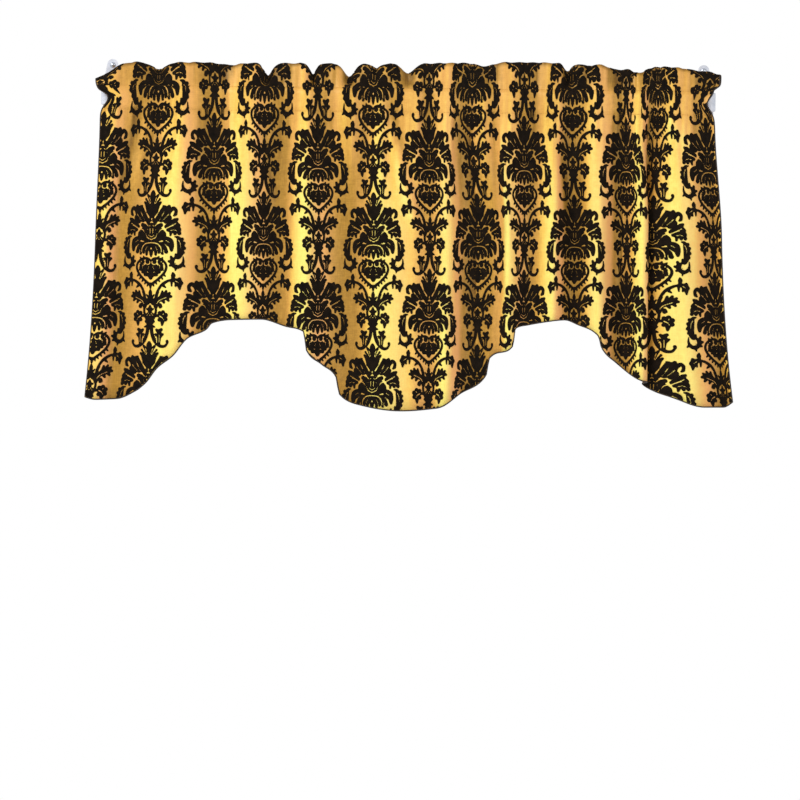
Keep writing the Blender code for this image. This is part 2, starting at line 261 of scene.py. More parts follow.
def smooth_curve(knots: Sequence[float], values: Sequence[float], at: np.ndarray) -> np.ndarray:
    """A smooth curve through points that never overshoots them (a monotone cubic).

    Args:
        knots: Where the points lie, rising.
        values: The points' values.
        at: Where the curve is read.

    Returns:
        The curve's value at each place asked for.
    """
    knots, values = np.asarray(knots, float), np.asarray(values, float)
    widths = np.diff(knots)
    rises = np.diff(values) / widths
    slopes = np.zeros_like(values)
    same_way = rises[:-1] * rises[1:] > 0
    before, after = widths[:-1] + 2 * widths[1:], 2 * widths[:-1] + widths[1:]
    safe = np.where(rises == 0, 1.0, rises)
    mean = (before + after) / (before / safe[:-1] + after / safe[1:])
    slopes[1:-1] = np.where(same_way, mean, 0.0)
    slopes[0], slopes[-1] = rises[0], rises[-1]
    at = np.clip(np.asarray(at, float), knots[0], knots[-1])
    span = np.clip(np.searchsorted(knots, at, side="right") - 1, 0, len(widths) - 1)
    width = widths[span]
    t = (at - knots[span]) / width
    start, end = values[span], values[span + 1]
    return (
        start * (1 + 2 * t) * (1 - t) ** 2
        + slopes[span] * width * t * (1 - t) ** 2
        + end * t * t * (3 - 2 * t)
        + slopes[span + 1] * width * t * t * (t - 1)
    )


def read_table(rows: Sequence[NamedTuple], knot: str, name: str, at: np.ndarray) -> np.ndarray:
    """A named column of a table, as a smooth curve over another column."""
    return smooth_curve([getattr(r, knot) for r in rows], [getattr(r, name) for r in rows], at)


def ease(t: np.ndarray) -> np.ndarray:
    """A soft step from 0 to 1."""
    t = np.clip(t, 0.0, 1.0)
    return t * t * (3 - 2 * t)


def ripple(at: np.ndarray, pitch: float, seed: int) -> np.ndarray:
    """An uneven wave of about unit height, with a crest every two pitches or so, the same each run."""
    turns = np.random.default_rng(seed)
    knots = np.arange(-200.0, 1200.0, pitch)
    knots = knots + turns.uniform(-0.3, 0.3, len(knots)) * pitch
    heights = turns.uniform(0.35, 1.0, len(knots)) * np.where(np.arange(len(knots)) % 2, 1.0, -1.0)
    return smooth_curve(knots, heights, at)


@dataclass(frozen=True)
class HangingCloth:
    """The surface in which the gathered panel hangs, as a function of the place on the flat cloth."""

    width: float = 976.0
    shift_x: float = 2.0
    header_top: float = 45.0
    header_rise: float = 4.5
    header_rise_at: float = 640.0
    header_rise_reach: float = 170.0
    header_down: float = 31.0
    header_fold: float = 1.5
    seam_z: float = 13.9
    over_rod_down: float = 35.5
    over_rod_z: float = 13.45
    pocket_upper_down: float = 42.5
    pocket_upper_z: float = 7.0
    pocket_lower_down: float = 62.5
    pocket_lower_z: float = -12.9
    stitch_down: float = 69.0
    stitch_z: float = -17.0
    turned_end_down: float = 72.5
    longest_drop: float = 412.0
    half_gap: float = 0.95
    half_gap_fades: float = 18.0
    edge_reach: float = 32.0
    pinch: float = 10.0
    pinch_z: float = -3.0
    pinch_height: float = 12.0
    pinch_height_behind: float = 20.0
    header_end: tuple[float, float] = (6.5, 7.5)
    header_end_from: tuple[float, float] = (1.0, 14.0)
    flare_left: float = 15.0
    flare_right: float = 21.0
    flare_reach: float = 70.0
    back_over_rod_plane: float = 47.9
    back_pocket_plane: float = 44.4
    back_pocket_folds: float = 0.45
    thickness: float = 0.7

    def hem(self, across: np.ndarray) -> np.ndarray:
        """Distance down the front face at which the hem lies."""
        return self.stitch_down + self.stitch_z + read_table(HEM, "cloth", "drop", across)

    def top(self, across: np.ndarray) -> np.ndarray:
        """Height of the header's upper edge, with its dips and small ruffles."""
        rise = self.header_rise * np.exp(-(((across - self.header_rise_at) / self.header_rise_reach) ** 2))
        dips = sum(t.dip * np.exp(-(((across - t.cloth) / t.half_width) ** 2)) for t in TUCKS)
        return self.header_top + rise - dips + 0.8 * ripple(across, 11.0, 5)

    def height(self, across: np.ndarray, down: np.ndarray) -> np.ndarray:
        """Height of a place on the panel; a negative distance lies behind the header's fold."""
        reach = np.abs(down)
        knots = (
            self.header_down,
            self.over_rod_down,
            self.pocket_upper_down,
            self.pocket_lower_down,
            self.stitch_down,
            1000.0,
        )
        heights = (
            self.seam_z,
            self.over_rod_z,
            self.pocket_upper_z,
            self.pocket_lower_z,
            self.stitch_z,
            self.stitch_z - (1000.0 - self.stitch_down),
        )
        below = np.interp(reach, knots, heights)
        top = self.top(across)
        in_header = top - (top - self.seam_z) * reach / self.header_down
        return np.where(reach < self.header_down, in_header, below)

    def x_at(self, across: np.ndarray, z: np.ndarray, behind: np.ndarray | float = 0.0) -> np.ndarray:
        """X of the hanging cloth: rod folds above, hem folds below, edges pinched on the rod, tails flared.

        Args:
            across: Distances across the flat panel.
            z: Heights on the hanging cloth.
            behind: 1 for the layer behind the rod, whose edges stay between the rod's two returns.

        Returns:
            X in millimetres for each place.
        """
        low = ease((-z - 20.0) / 160.0)
        x = read_table(FOLDS, "cloth", "x_rod", across) * (1 - low)
        x = x + read_table(FOLDS, "cloth", "x_low", across) * low
        pinch_height = self.pinch_height + (self.pinch_height_behind - self.pinch_height) * behind
        pinch = self.pinch * np.exp(-(((z - self.pinch_z) / pinch_height) ** 2))
        from_left, from_right = across, self.width - across
        left, right = (
            out * ease((z - low - (self.over_rod_z - low) * behind) / 9.0)
            for out, low in zip(self.header_end, self.header_end_from)
        )
        x = x + (pinch - left) * np.exp(-((from_left / self.edge_reach) ** 2))
        x = x - (pinch - right) * np.exp(-((from_right / self.edge_reach) ** 2))
        flare = np.clip(-z / self.longest_drop, 0.0, 1.0) ** 3
        x = x - self.flare_left * flare * np.exp(-((from_left / self.flare_reach) ** 2))
        x = x + self.flare_right * flare * np.exp(-((from_right / self.flare_reach) ** 2))
        return x + self.shift_x

    def out_at(self, across: np.ndarray, down: np.ndarray) -> np.ndarray:
        """How far the middle of the cloth's front stands from the wall."""
        push = sum(t.push * np.exp(-(((across - t.cloth) / t.half_width) ** 2)) for t in TUCKS)
        out = (
            read_table(STATIONS, "down", "plane", down)
            + read_table(STATIONS, "down", "rod_folds", down) * read_table(FOLDS, "cloth", "out_rod", across)
            + read_table(STATIONS, "down", "low_folds", down) * read_table(FOLDS, "cloth", "out_low", across)
            - read_table(STATIONS, "down", "header_tucks", down) * push
        )
        return out + self.relief(across, down)

    def relief(self, across: np.ndarray, down: np.ndarray) -> np.ndarray:
        """The finer folds: gathers at the stitches that die out below, and slanting creases."""
        fine = 0.75 * ripple(across + 0.05 * down, 5.5, 11) + 0.45 * ripple(across - 0.04 * down, 3.6, 12)
        long_ones = 1.1 * ripple(across + 0.03 * down, 13.0, 13)
        gathers = read_table(STATIONS, "down", "puckers", down) * (fine + long_ones)
        for c in CREASES:
            run_a, run_d = c.across_to - c.across_from, c.down_to - c.down_from
            along = ((across - c.across_from) * run_a + (down - c.down_from) * run_d) / (run_a**2 + run_d**2)
            away = (across - c.across_from) - along * run_a
            ends = ease((along + 0.15) / 0.35) * ease((1.15 - along) / 0.35)
            gathers = gathers + c.height * ends * np.exp(-((away / c.half_width) ** 2))
        return gathers + self.laps(across, down)[0]

    def laps(self, across: np.ndarray, down: np.ndarray) -> tuple[np.ndarray, np.ndarray]:
        """How far the lapped folds stand proud at each place, and how deep they shade the cloth by them."""
        proud, shade = np.zeros_like(across), np.zeros_like(across)
        for lap in LAPS:
            along = (down - lap.down_from) / (lap.down_to - lap.down_from)
            past = across - lap.across_top - (lap.across_low - lap.across_top) * np.clip(along, 0, 1)
            here = ease(along / 0.12) * ease((1 - along) / 0.25) * lap.height
            proud = proud + here * ease(past / 2.6 + 0.5) * np.exp(-np.maximum(past, 0) / lap.width)
            shade = shade + here * np.exp(-((np.minimum(past, 0) / 4.5) ** 2)) * ease(0.5 - past / 2.0)
        return proud, shade

    def layer(self, down: np.ndarray) -> np.ndarray:
        """How far the middle of the cloth is moved square to the folds where two layers lie together."""
        front = np.interp(
            down,
            (
                0.0,
                self.header_fold,
                self.header_down,
                self.over_rod_down,
                self.pocket_lower_down,
                self.stitch_down,
                self.stitch_down + self.half_gap_fades,
            ),
            (0.0, self.half_gap, self.half_gap, 0.0, 0.0, self.half_gap, 0.0),
        )
        back = -np.interp(
            -down,
            (0.0, self.header_fold, self.stitch_down, self.turned_end_down),
            (0.0, self.half_gap, self.half_gap, 2 * self.half_gap),
        )
        return np.where(down >= 0, front, back)

    def middle(self, across: np.ndarray, down: np.ndarray) -> np.ndarray:
        """Points on the middle of the cloth.

        Args:
            across: Distances across the flat panel.
            down: Distances down its front face, negative behind the header's fold.

        Returns:
            One row of X, Y and Z in millimetres for each place.
        """
        reach = np.abs(down)
        z = self.height(across, down)
        behind = np.clip(-down / self.header_down, 0.0, 1.0)
        x, out = self.x_at(across, z, behind), self.out_at(across, reach)
        step = 1.0
        run_x = self.x_at(across + step, z, behind) - self.x_at(across - step, z, behind)
        run_out = self.out_at(across + step, reach) - self.out_at(across - step, reach)
        length = np.hypot(run_x, run_out)
        move = self.layer(down)
        x, out = x - move * run_out / length, out + move * run_x / length
        behind_rod = self.back_pocket_plane + self.back_pocket_folds * read_table(
            FOLDS, "cloth", "out_rod", across
        )
        share = np.interp(
            -down,
            (self.header_down, self.over_rod_down, self.pocket_lower_down, self.stitch_down),
            (0.0, 1.0, 1.0, 0.0),
        )
        settle = np.interp(-down, (self.over_rod_down, self.pocket_upper_down), (0.0, 1.0))
        plane = self.back_over_rod_plane + (behind_rod - self.back_over_rod_plane) * settle
        out = np.where(down < 0, out + (plane - out) * ease(share), out)
        return np.column_stack([x, -out, z])

    def outward(self, across: np.ndarray, down: np.ndarray) -> np.ndarray:
        """The cloth's face direction at each place, as unit rows."""
        step = 0.6
        run_a = self.middle(across + step, down) - self.middle(across - step, down)
        run_d = self.middle(across, down - step) - self.middle(across, down + step)
        face = np.cross(run_a, run_d)
        return face / np.maximum(np.linalg.norm(face, axis=1), 1e-9)[:, None]

    def raised(self, across: np.ndarray, down: np.ndarray, lift: np.ndarray | float) -> np.ndarray:
        """Points in metres, lifted off the middle of the cloth towards its face."""
        lift = np.broadcast_to(np.asarray(lift, float), across.shape)
        return (self.middle(across, down) + self.outward(across, down) * lift[:, None]) * MM


CLOTH = HangingCloth()


def linear(hex_code: str) -> tuple[float, float, float, float]:
    """An sRGB colour, written as six hex digits, in linear light."""
    parts = [int(hex_code[i : i + 2], 16) / 255 for i in (0, 2, 4)]
    red, green, blue = [p / 12.92 if p <= 0.04045 else ((p + 0.055) / 1.055) ** 2.4 for p in parts]
    return red, green, blue, 1.0


def add_node(
    material: bpy.types.Material, kind: str, links: dict | None = None, **settings: object
) -> bpy.types.Node:
    """Adds a shader node.

    Args:
        material: Whose node tree it joins.
        kind: Blender's name of the node type, without its ShaderNode prefix.
        links: Input names or numbers, each with a value or with the output socket that feeds it.
        settings: The node's own properties.

    Returns:
        The new node.
    """
    tree = material.node_tree
    made = tree.nodes.new("ShaderNode" + kind)
    for name, value in settings.items():
        setattr(made, name, value)
    for name, value in (links or {}).items():
        if isinstance(value, bpy.types.NodeSocket):
            tree.links.new(value, made.inputs[name])
        else:
            made.inputs[name].default_value = value
    return made


def new_material(name: str, **shader_values: object) -> tuple[bpy.types.Material, bpy.types.Node]:
    """A material with its Principled shader, whose plain values are set on the shader's own sockets."""
    material = bpy.data.materials.new(name)
    material.use_nodes = True
    shader = material.node_tree.nodes["Principled BSDF"]
    for socket, value in shader_values.items():
        shader.inputs[socket.replace("_", " ")].default_value = value
    return material, shader


def ramp_of(
    material: bpy.types.Material, factor: bpy.types.NodeSocket, stops: dict[float, str]
) -> bpy.types.Node:
    """A colour ramp with its stops given as place and hex colour."""
    made = add_node(material, "ValToRGB", {"Fac": factor})
    elements = made.color_ramp.elements
    while len(elements) < len(stops):
        elements.new(0.5)
    for element, (place, code) in zip(elements, sorted(stops.items())):
        element.position = place
        element.color = linear(code)
    return made


@dataclass(frozen=True)
class GoldTaffeta:
    """Acetate taffeta, plain woven and calendered: a crisp sheen, and painted light from lemon on the ridges
    to mustard.
    """

    name: str = "gold_taffeta"
    # Painted light and shade: valley and shade colour the painted shade in the folds, light and crest their
    # painted highlight.
    valley: str = "74501C"
    shade: str = "B08232"
    body: str = "DEA748"
    light: str = "FCCE5E"
    crest: str = "FFF27E"
    peach_sheen: str = "FAB274"
    roughness: float = 0.42
    rib_pitch_mm: float = 1.4
    slub_mm: float = 7.0
    reverse: bool = False

    def build(self) -> bpy.types.Material:
        """Makes the material; its ribs are drawn at 1.4 mm, as the real 0.3 mm weave is too fine to show."""
        material, shader = new_material(
            self.name,
            Roughness=self.roughness,
            IOR=1.5,
            Specular_Tint=linear("FAE2B6"),
            Sheen_Weight=0.12,
            Sheen_Roughness=0.4,
            Sheen_Tint=linear("EDB450"),
            Anisotropic=0.3,
        )
        uv = add_node(material, "UVMap", uv_map="cloth")
        ribs_at = add_node(material, "Mapping", {"Vector": uv.outputs[0]})
        ribs_at.inputs["Scale"].default_value = (
            1000 / (self.rib_pitch_mm * 9),
            1000 / self.rib_pitch_mm,
            1.0,
        )
        ribs = add_node(material, "TexNoise", {"Vector": ribs_at.outputs[0], "Scale": 1.0, "Detail": 2.0})
        warp_at = add_node(material, "Mapping", {"Vector": uv.outputs[0]})
        warp_at.inputs["Scale"].default_value = (
            1000 / self.rib_pitch_mm,
            1000 / (self.rib_pitch_mm * 12),
            1.0,
        )
        warp = add_node(material, "TexNoise", {"Vector": warp_at.outputs[0], "Scale": 1.0, "Detail": 1.0})
        weave = add_node(material, "Math", {0: ribs.outputs["Fac"], 1: warp.outputs["Fac"]}, operation="ADD")
        slub = add_node(
            material,
            "TexNoise",
            {"Vector": uv.outputs[0], "Scale": 1000 / self.slub_mm, "Detail": 3.0, "Roughness": 0.6},
        )
        # Reads the painted light and shade and the painted peach sheen that the panel stores on its points.
        painted_light = add_node(material, "Attribute", attribute_name="painted_light", attribute_type="GEOMETRY")
        peach_sheen = add_node(material, "Attribute", attribute_name="peach_sheen", attribute_type="GEOMETRY")
        uneven = add_node(
            material,
            "MapRange",
            {"Value": slub.outputs["Fac"], "From Min": 0.3, "From Max": 0.7, "To Min": -0.05, "To Max": 0.05},
        )
        threads = add_node(
            material,
            "MapRange",
            {"Value": weave.outputs[0], "From Min": 0.7, "From Max": 1.3, "To Min": -0.05, "To Max": 0.05},
        )
        light_and_weave = add_node(material, "Math", {0: painted_light.outputs["Fac"], 1: uneven.outputs[0]}, operation="ADD")
        light_and_weave = add_node(material, "Math", {0: light_and_weave.outputs[0], 1: threads.outputs[0]}, operation="ADD")
        # Painted light and shade: the ramp runs from a valley's painted shade to a crest's painted highlight,
        # varied by slubs and weave.
        gold = ramp_of(
            material,
            light_and_weave.outputs[0],
            {0.0: self.valley, 0.25: self.shade, 0.5: self.body, 0.75: self.light, 1.0: self.crest},
        )
        # Mixes in the painted peach sheen; on the reverse it is multiplied in.
        warm = add_node(
            material,
            "Mix",
            {"Factor": peach_sheen.outputs["Fac"], "A": gold.outputs["Color"], "B": linear(self.peach_sheen)},
            data_type="RGBA",
            blend_type="MULTIPLY" if self.reverse else "MIX",
        )
        bump = add_node(
            material,
            "Bump",
            {"Height": weave.outputs[0], "Strength": 0.35, "Distance": 0.15 * MM},
        )
        tree = material.node_tree
        tree.links.new(warm.outputs["Result"], shader.inputs["Base Color"])
        tree.links.new(bump.outputs[0], shader.inputs["Normal"])
        return material


@dataclass(frozen=True)
class FlockPile:
    """Cut rayon flock, stood on end in glue: so matt a black that only its nap and brushed marks show."""

    name: str = "black_flock"
    deep: str = "080503"
    nap: str = "1E150C"
    tuft_mm: float = 1.1
    brushed_mm: float = 9.0

    def build(self) -> bpy.types.Material:
        """Makes the material, with its tufts drawn coarser than the real pile's so that they show."""
        material, shader = new_material(
            self.name,
            Roughness=0.92,
            IOR=1.45,
            Sheen_Weight=0.08,
            Sheen_Roughness=0.5,
            Sheen_Tint=linear("C9A36E"),
            Specular_IOR_Level=0.15,
        )
        uv = add_node(material, "UVMap", uv_map="cloth")
        tufts = add_node(
            material, "TexNoise", {"Vector": uv.outputs[0], "Scale": 1000 / self.tuft_mm, "Detail": 2.0}
        )
        brushed = add_node(
            material, "TexNoise", {"Vector": uv.outputs[0], "Scale": 1000 / self.brushed_mm, "Detail": 2.0}
        )
        both = add_node(
            material, "Math", {0: tufts.outputs["Fac"], 1: brushed.outputs["Fac"]}, operation="MULTIPLY"
        )
        colour = ramp_of(material, both.outputs[0], {0.12: self.deep, 0.4: self.nap})
        bump = add_node(
            material, "Bump", {"Height": tufts.outputs["Fac"], "Strength": 0.6, "Distance": 0.4 * MM}
        )
        tree = material.node_tree
        tree.links.new(colour.outputs["Color"], shader.inputs["Base Color"])
        tree.links.new(bump.outputs[0], shader.inputs["Normal"])
        return material


@dataclass(frozen=True)
class SewingThread:
    """Spun polyester thread: soft, slightly hairy, with the twist of its plies along it."""

    name: str
    colour: str
    dark: str
    ply_mm: float = 0.7

    def build(self) -> bpy.types.Material:
        """Makes the material, with its plies' twist as slanting bands."""
        material, shader = new_material(self.name, Roughness=0.7, Sheen_Weight=0.2)
        place = add_node(material, "TexCoord")
        plies = add_node(
            material,
            "TexWave",
            {"Vector": place.outputs["Object"], "Scale": 1000 / self.ply_mm / 20, "Distortion": 1.5},
            bands_direction="DIAGONAL",
        )
        colour = ramp_of(material, plies.outputs["Fac"], {0.0: self.dark, 1.0: self.colour})
        bump = add_node(
            material, "Bump", {"Height": plies.outputs["Fac"], "Strength": 0.5, "Distance": 0.2 * MM}
        )
        tree = material.node_tree
        tree.links.new(colour.outputs["Color"], shader.inputs["Base Color"])
        tree.links.new(bump.outputs[0], shader.inputs["Normal"])
        return material


@dataclass(frozen=True)
class WhiteEnamel:
    """Baked enamel on rolled steel: smooth and hard, with a faint orange peel and a cool white."""

    name: str = "white_enamel"
    colour: str = "E4E8F2"
    dust: str = "CDD2DC"
    peel_mm: float = 2.5

    def build(self) -> bpy.types.Material:
        """Makes the material."""
        material, shader = new_material(
            self.name, Roughness=0.3, IOR=1.5, Coat_Weight=0.3, Coat_Roughness=0.15
        )
        place = add_node(material, "TexCoord")
        peel = add_node(
            material,
            "TexNoise",
            {"Vector": place.outputs["Object"], "Scale": 1000 / self.peel_mm, "Detail": 2.0},
        )
        wear = add_node(
            material, "TexNoise", {"Vector": place.outputs["Object"], "Scale": 60.0, "Detail": 6.0}
        )
        colour = ramp_of(material, wear.outputs["Fac"], {0.3: self.dust, 0.55: self.colour})
        bump = add_node(
            material, "Bump", {"Height": peel.outputs["Fac"], "Strength": 0.15, "Distance": 0.1 * MM}
        )
        tree = material.node_tree
        tree.links.new(colour.outputs["Color"], shader.inputs["Base Color"])
        tree.links.new(bump.outputs[0], shader.inputs["Normal"])
        return material


@dataclass(frozen=True)
class ZincPlate:
    """Zinc-plated screw steel: a soft silver with a fine, cloudy spangle."""

    name: str = "zinc_plated_steel"
    colour: str = "DDE1E8"
    cloudy: str = "BFC4CD"
    spangle_mm: float = 1.2

    def build(self) -> bpy.types.Material:
        """Makes the material."""
        material, shader = new_material(self.name, Roughness=0.32, Metallic=1.0)
        place = add_node(material, "TexCoord")
        spangle = add_node(
            material,
            "TexNoise",
            {"Vector": place.outputs["Object"], "Scale": 1000 / self.spangle_mm, "Detail": 3.0},
        )
        colour = ramp_of(material, spangle.outputs["Fac"], {0.35: self.cloudy, 0.65: self.colour})
        material.node_tree.links.new(colour.outputs["Color"], shader.inputs["Base Color"])
        return material


@dataclass(frozen=True)
class Stroke:
    """One tapering stroke of the damask, mirrored about the motif's axis.

    Its points are (distance from the axis, distance below the plume's tip), each with the stroke's half
    width there.
    """

    path: Path
    wide: tuple[float, ...]
    laid: Laid = Laid.PILE

    def points(self) -> tuple[np.ndarray, np.ndarray]:
        """The stroke's smooth middle line and its half widths."""
        knots = np.arange(len(self.path), dtype=float)
        if len(knots) == 1:
            return np.array([self.path[0], self.path[0]], float), np.array([self.wide[0]] * 2, float)
        at = np.linspace(0, knots[-1], 5 * (len(knots) - 1) + 1 if len(knots) > 2 else 2)
        way = np.array(self.path, float)
        span = np.clip(at.astype(int), 0, len(knots) - 2)
        t = (at - span)[:, None]
        padded = np.vstack([2 * way[0] - way[1], way, 2 * way[-1] - way[-2]])
        before, start, end, after = (padded[span + k] for k in range(4))
        line = start + 0.5 * t * (
            end - before
            + t * (2 * before - 5 * start + 4 * end - after + t * (3 * (start - end) + after - before))
        )
        return line, np.interp(at, knots, self.wide)

    def distance(self, from_axis: np.ndarray, below: np.ndarray) -> np.ndarray:
        """Signed distance from the stroke's outline, negative inside it."""
        line, wide = self.points()
        nearest = np.full(from_axis.shape, np.inf)
        for start, end, w0, w1 in zip(line[:-1], line[1:], wide[:-1], wide[1:]):
            run = end - start
            t = (from_axis - start[0]) * run[0] + (below - start[1]) * run[1]
            t = np.clip(t / max(run @ run, 1e-9), 0.0, 1.0)
            off = np.hypot(from_axis - start[0] - t * run[0], below - start[1] - t * run[1])
            nearest = np.minimum(nearest, off - (w0 + (w1 - w0) * t))
        return nearest


def pile(*path: tuple[float, float], wide: tuple[float, ...]) -> Stroke:
    """A stroke of black pile."""
    return Stroke(path, wide)


def slit(*path: tuple[float, float], wide: tuple[float, ...]) -> Stroke:
    """A stroke where the gold ground shows through."""
    return Stroke(path, wide, Laid.GROUND)


PLUME = (
    pile((0, 3), (0, 6.4), (0, 11), (0, 20), wide=(2.2, 4, 2.6, 3)),
    pile((8, 7.6), (5, 11), (1.6, 17), wide=(1.6, 2.2, 2.4)),
    pile((11, 12.4), (7.8, 15), (4, 20), wide=(1.5, 1.9, 2.2)),
    pile((12.6, 16.8), (10, 19.6), (7, 24), wide=(1.5, 2, 3)),
    pile((7.6, 21), (4.6, 28), (0.6, 37), wide=(3.8, 4.4, 1.8)),
    pile((0, 21), (0, 30), wide=(6.4, 5)),
    pile((17, 22), (14.2, 28), (10.8, 34.6), (7.6, 40.6), wide=(1.8, 3.2, 3.6, 2.4)),
    pile((2, 40.6), (7, 38), wide=(1.6, 2)),
    slit((14.8, 21.6), (10.6, 28.4), (5, 37.4), wide=(0.8, 0.55, 0.5)),
    slit((8.8, 12), (6.4, 15), (4.6, 18.4), wide=(0.7, 0.6, 0.5)),
    slit((5.6, 10.4), (4.2, 14), (3.2, 17.6), wide=(0.6, 0.55, 0.5)),
    slit((0, 38), wide=(1,)),
)

UPPER_LEAF = (
    pile((21, 24.6), (23, 30.6), (18.6, 37), (13.6, 40.2), wide=(3.4, 5.2, 4.6, 2.4)),
    pile((19.4, 25.6), (14.6, 34.4), (11.4, 39.6), wide=(2.2, 2.6, 2)),
    pile((19, 22.4), wide=(1.9,)),
    pile((25.4, 22), wide=(2.3,)),
    pile((27, 28), (31.6, 24.2), (35.4, 27), (35.2, 32), wide=(2.8, 2.3, 2.2, 2.1)),
    pile((33, 33), wide=(1.9,)),
    pile((26.4, 36.8), (20.8, 41.2), wide=(3.4, 3)),
    slit((18.6, 29), (15.4, 34.6), (12, 40), wide=(0.5, 0.55, 0.5)),
    slit((25.4, 32), (21, 36.4), (17.4, 39.6), wide=(0.5, 0.5, 0.5)),
    slit((30.4, 29.6), (30.6, 32), wide=(1.1, 1.6)),
)

FAN_LEAF = (
    pile((21.8, 48.4), (28.6, 44.2), (34, 41), (37.8, 38.4), wide=(2.3, 3.2, 3.5, 1.5)),
    pile((34.6, 43.8), (39.2, 46.8), wide=(3.7, 2.7)),
    pile((24.6, 52.6), (32.4, 52), (38.6, 52.4), wide=(2.2, 4.4, 4.4)),
    pile((40.8, 57), wide=(2.5,)),
    pile((34.8, 57), wide=(2.5,)),
    pile((28.8, 56.6), (28.4, 59.6), wide=(2, 1.3)),
    slit((22.6, 50.6), (28.4, 47.8), (36, 44), wide=(0.6, 0.65, 0.5)),
    slit((27.4, 53.8), (33, 52.6), (38, 54), wide=(0.5, 0.5, 0.5)),
)

BOWL = (
    pile((0, 47), (0, 54), (0, 58.4), wide=(3.4, 8, 9)),
    pile((5.2, 43.8), wide=(2.7,)),
    pile((8, 49), (14.8, 46.4), wide=(3, 2.6)),
    pile((11.6, 54.6), (16.8, 59), wide=(5.6, 5.4)),
    pile((18.4, 59.2), (20.6, 62), wide=(3.4, 2.1)),
    pile((0, 63), (12.6, 62.8), wide=(5, 4.5)),
    slit((18, 51.4), (13.8, 53), (11, 56.6), wide=(0.8, 0.55, 0.5)),
    slit((2.2, 51), (2, 57.6), wide=(0.6, 0.55)),
    slit((1.4, 46.6), (4.6, 48), (8, 45.4), wide=(0.5, 0.5, 0.6)),
    slit((8.8, 58), (6.4, 62.8), (0, 65.6), wide=(0.5, 0.6, 0.6)),
    slit((4.6, 59.6), (0, 62.2), wide=(0.5, 0.5)),
    slit((6.4, 51.6), (6, 55), wide=(0.5, 0.5)),
)

SKIRT = (
    pile((17.6, 64.6), (24, 65.4), (28, 68.6), (29.8, 73.6), (30.2, 79), wide=(2, 3.8, 4.8, 3.9, 2.2)),
    pile((25, 70), (20.4, 70), wide=(4.4, 3)),
    pile((0, 69.4), (10, 70.4), wide=(2.8, 3)),
    pile((15.4, 71.4), (19.6, 77), (22.8, 81.4), wide=(3.2, 4, 2.6)),
    pile((16.4, 77.6), (17.2, 83.2), wide=(3, 2.3)),
    pile((0, 76.4), (7, 77.2), wide=(6.2, 5.6)),
    pile((11.2, 77), (11.8, 82.4), wide=(2.4, 1.9)),
    pile((7, 80), (7.2, 85), wide=(2.5, 1.8)),
    pile((0, 80), (0, 84.2), (0, 87.6), wide=(2, 2.5, 1.1)),
    slit((15.6, 81.6), (14.2, 75.4), (9, 70.9), (0, 69.6), wide=(0.6, 0.7, 0.65, 0.6)),
    slit((20.2, 71.4), (24.2, 75), (27, 80.4), wide=(0.5, 0.7, 1)),
    slit((22, 66.4), (26.6, 69), wide=(0.5, 0.5)),
    slit((16, 67.4), (11.8, 68), wide=(1.1, 0.6)),
    slit((4.1, 87), (3.9, 80.6), wide=(1.1, 0.6)),
    slit((9.7, 86), (9.2, 79.4), (6.6, 75.2), wide=(0.6, 0.5, 0.5)),
    slit((19.6, 84.6), (18.6, 79), wide=(0.6, 0.5)),
    slit((0, 77.4), wide=(1.3,)),
)

COMMA_LEAF = (
    pile((34.4, 61.6), (38.6, 62.4), (41.4, 66.4), wide=(0.5, 1.8, 3.7)),
    pile((41.6, 67.4), (43, 75), (42.2, 82.6), wide=(4.2, 5, 4)),
    pile((44.6, 64.8), wide=(2.2,)),
    pile((47, 70), wide=(2,)),
    pile((47.6, 76.6), wide=(2.1,)),
    pile((46, 82.4), wide=(2.1,)),
    pile((42, 85), (40, 88.6), (37, 88.4), (36.4, 85), wide=(3.5, 2.4, 2, 1.5)),
    slit((39.4, 65.6), (42.4, 71), (42.6, 80), wide=(0.5, 0.6, 0.5)),
)

HORN = (
    pile((46.2, 88), (46.4, 94.6), (43.4, 99.6), (36.6, 102.6), wide=(0.5, 1.5, 2.4, 2.1)),
    pile((45.4, 98), (48.4, 100.8), wide=(1.8, 0.9)),
    pile((37, 101), (36, 106), wide=(2.4, 0.7)),
    pile((36.6, 101), (33, 97.6), (31.4, 93), wide=(3, 3.8, 3)),
    pile((32, 94), (29.8, 88.2), wide=(2.8, 1.7)),
    pile((33, 93), (34.4, 89.4), wide=(2.2, 1.1)),
    pile((31, 95), (26.4, 94), wide=(2.8, 1.4)),
    pile((32, 98), (28.2, 99.6), wide=(2.6, 1.3)),
    slit((35, 94), (36.2, 97.4), (40.6, 97.8), wide=(0.7, 0.6, 0.5)),
)

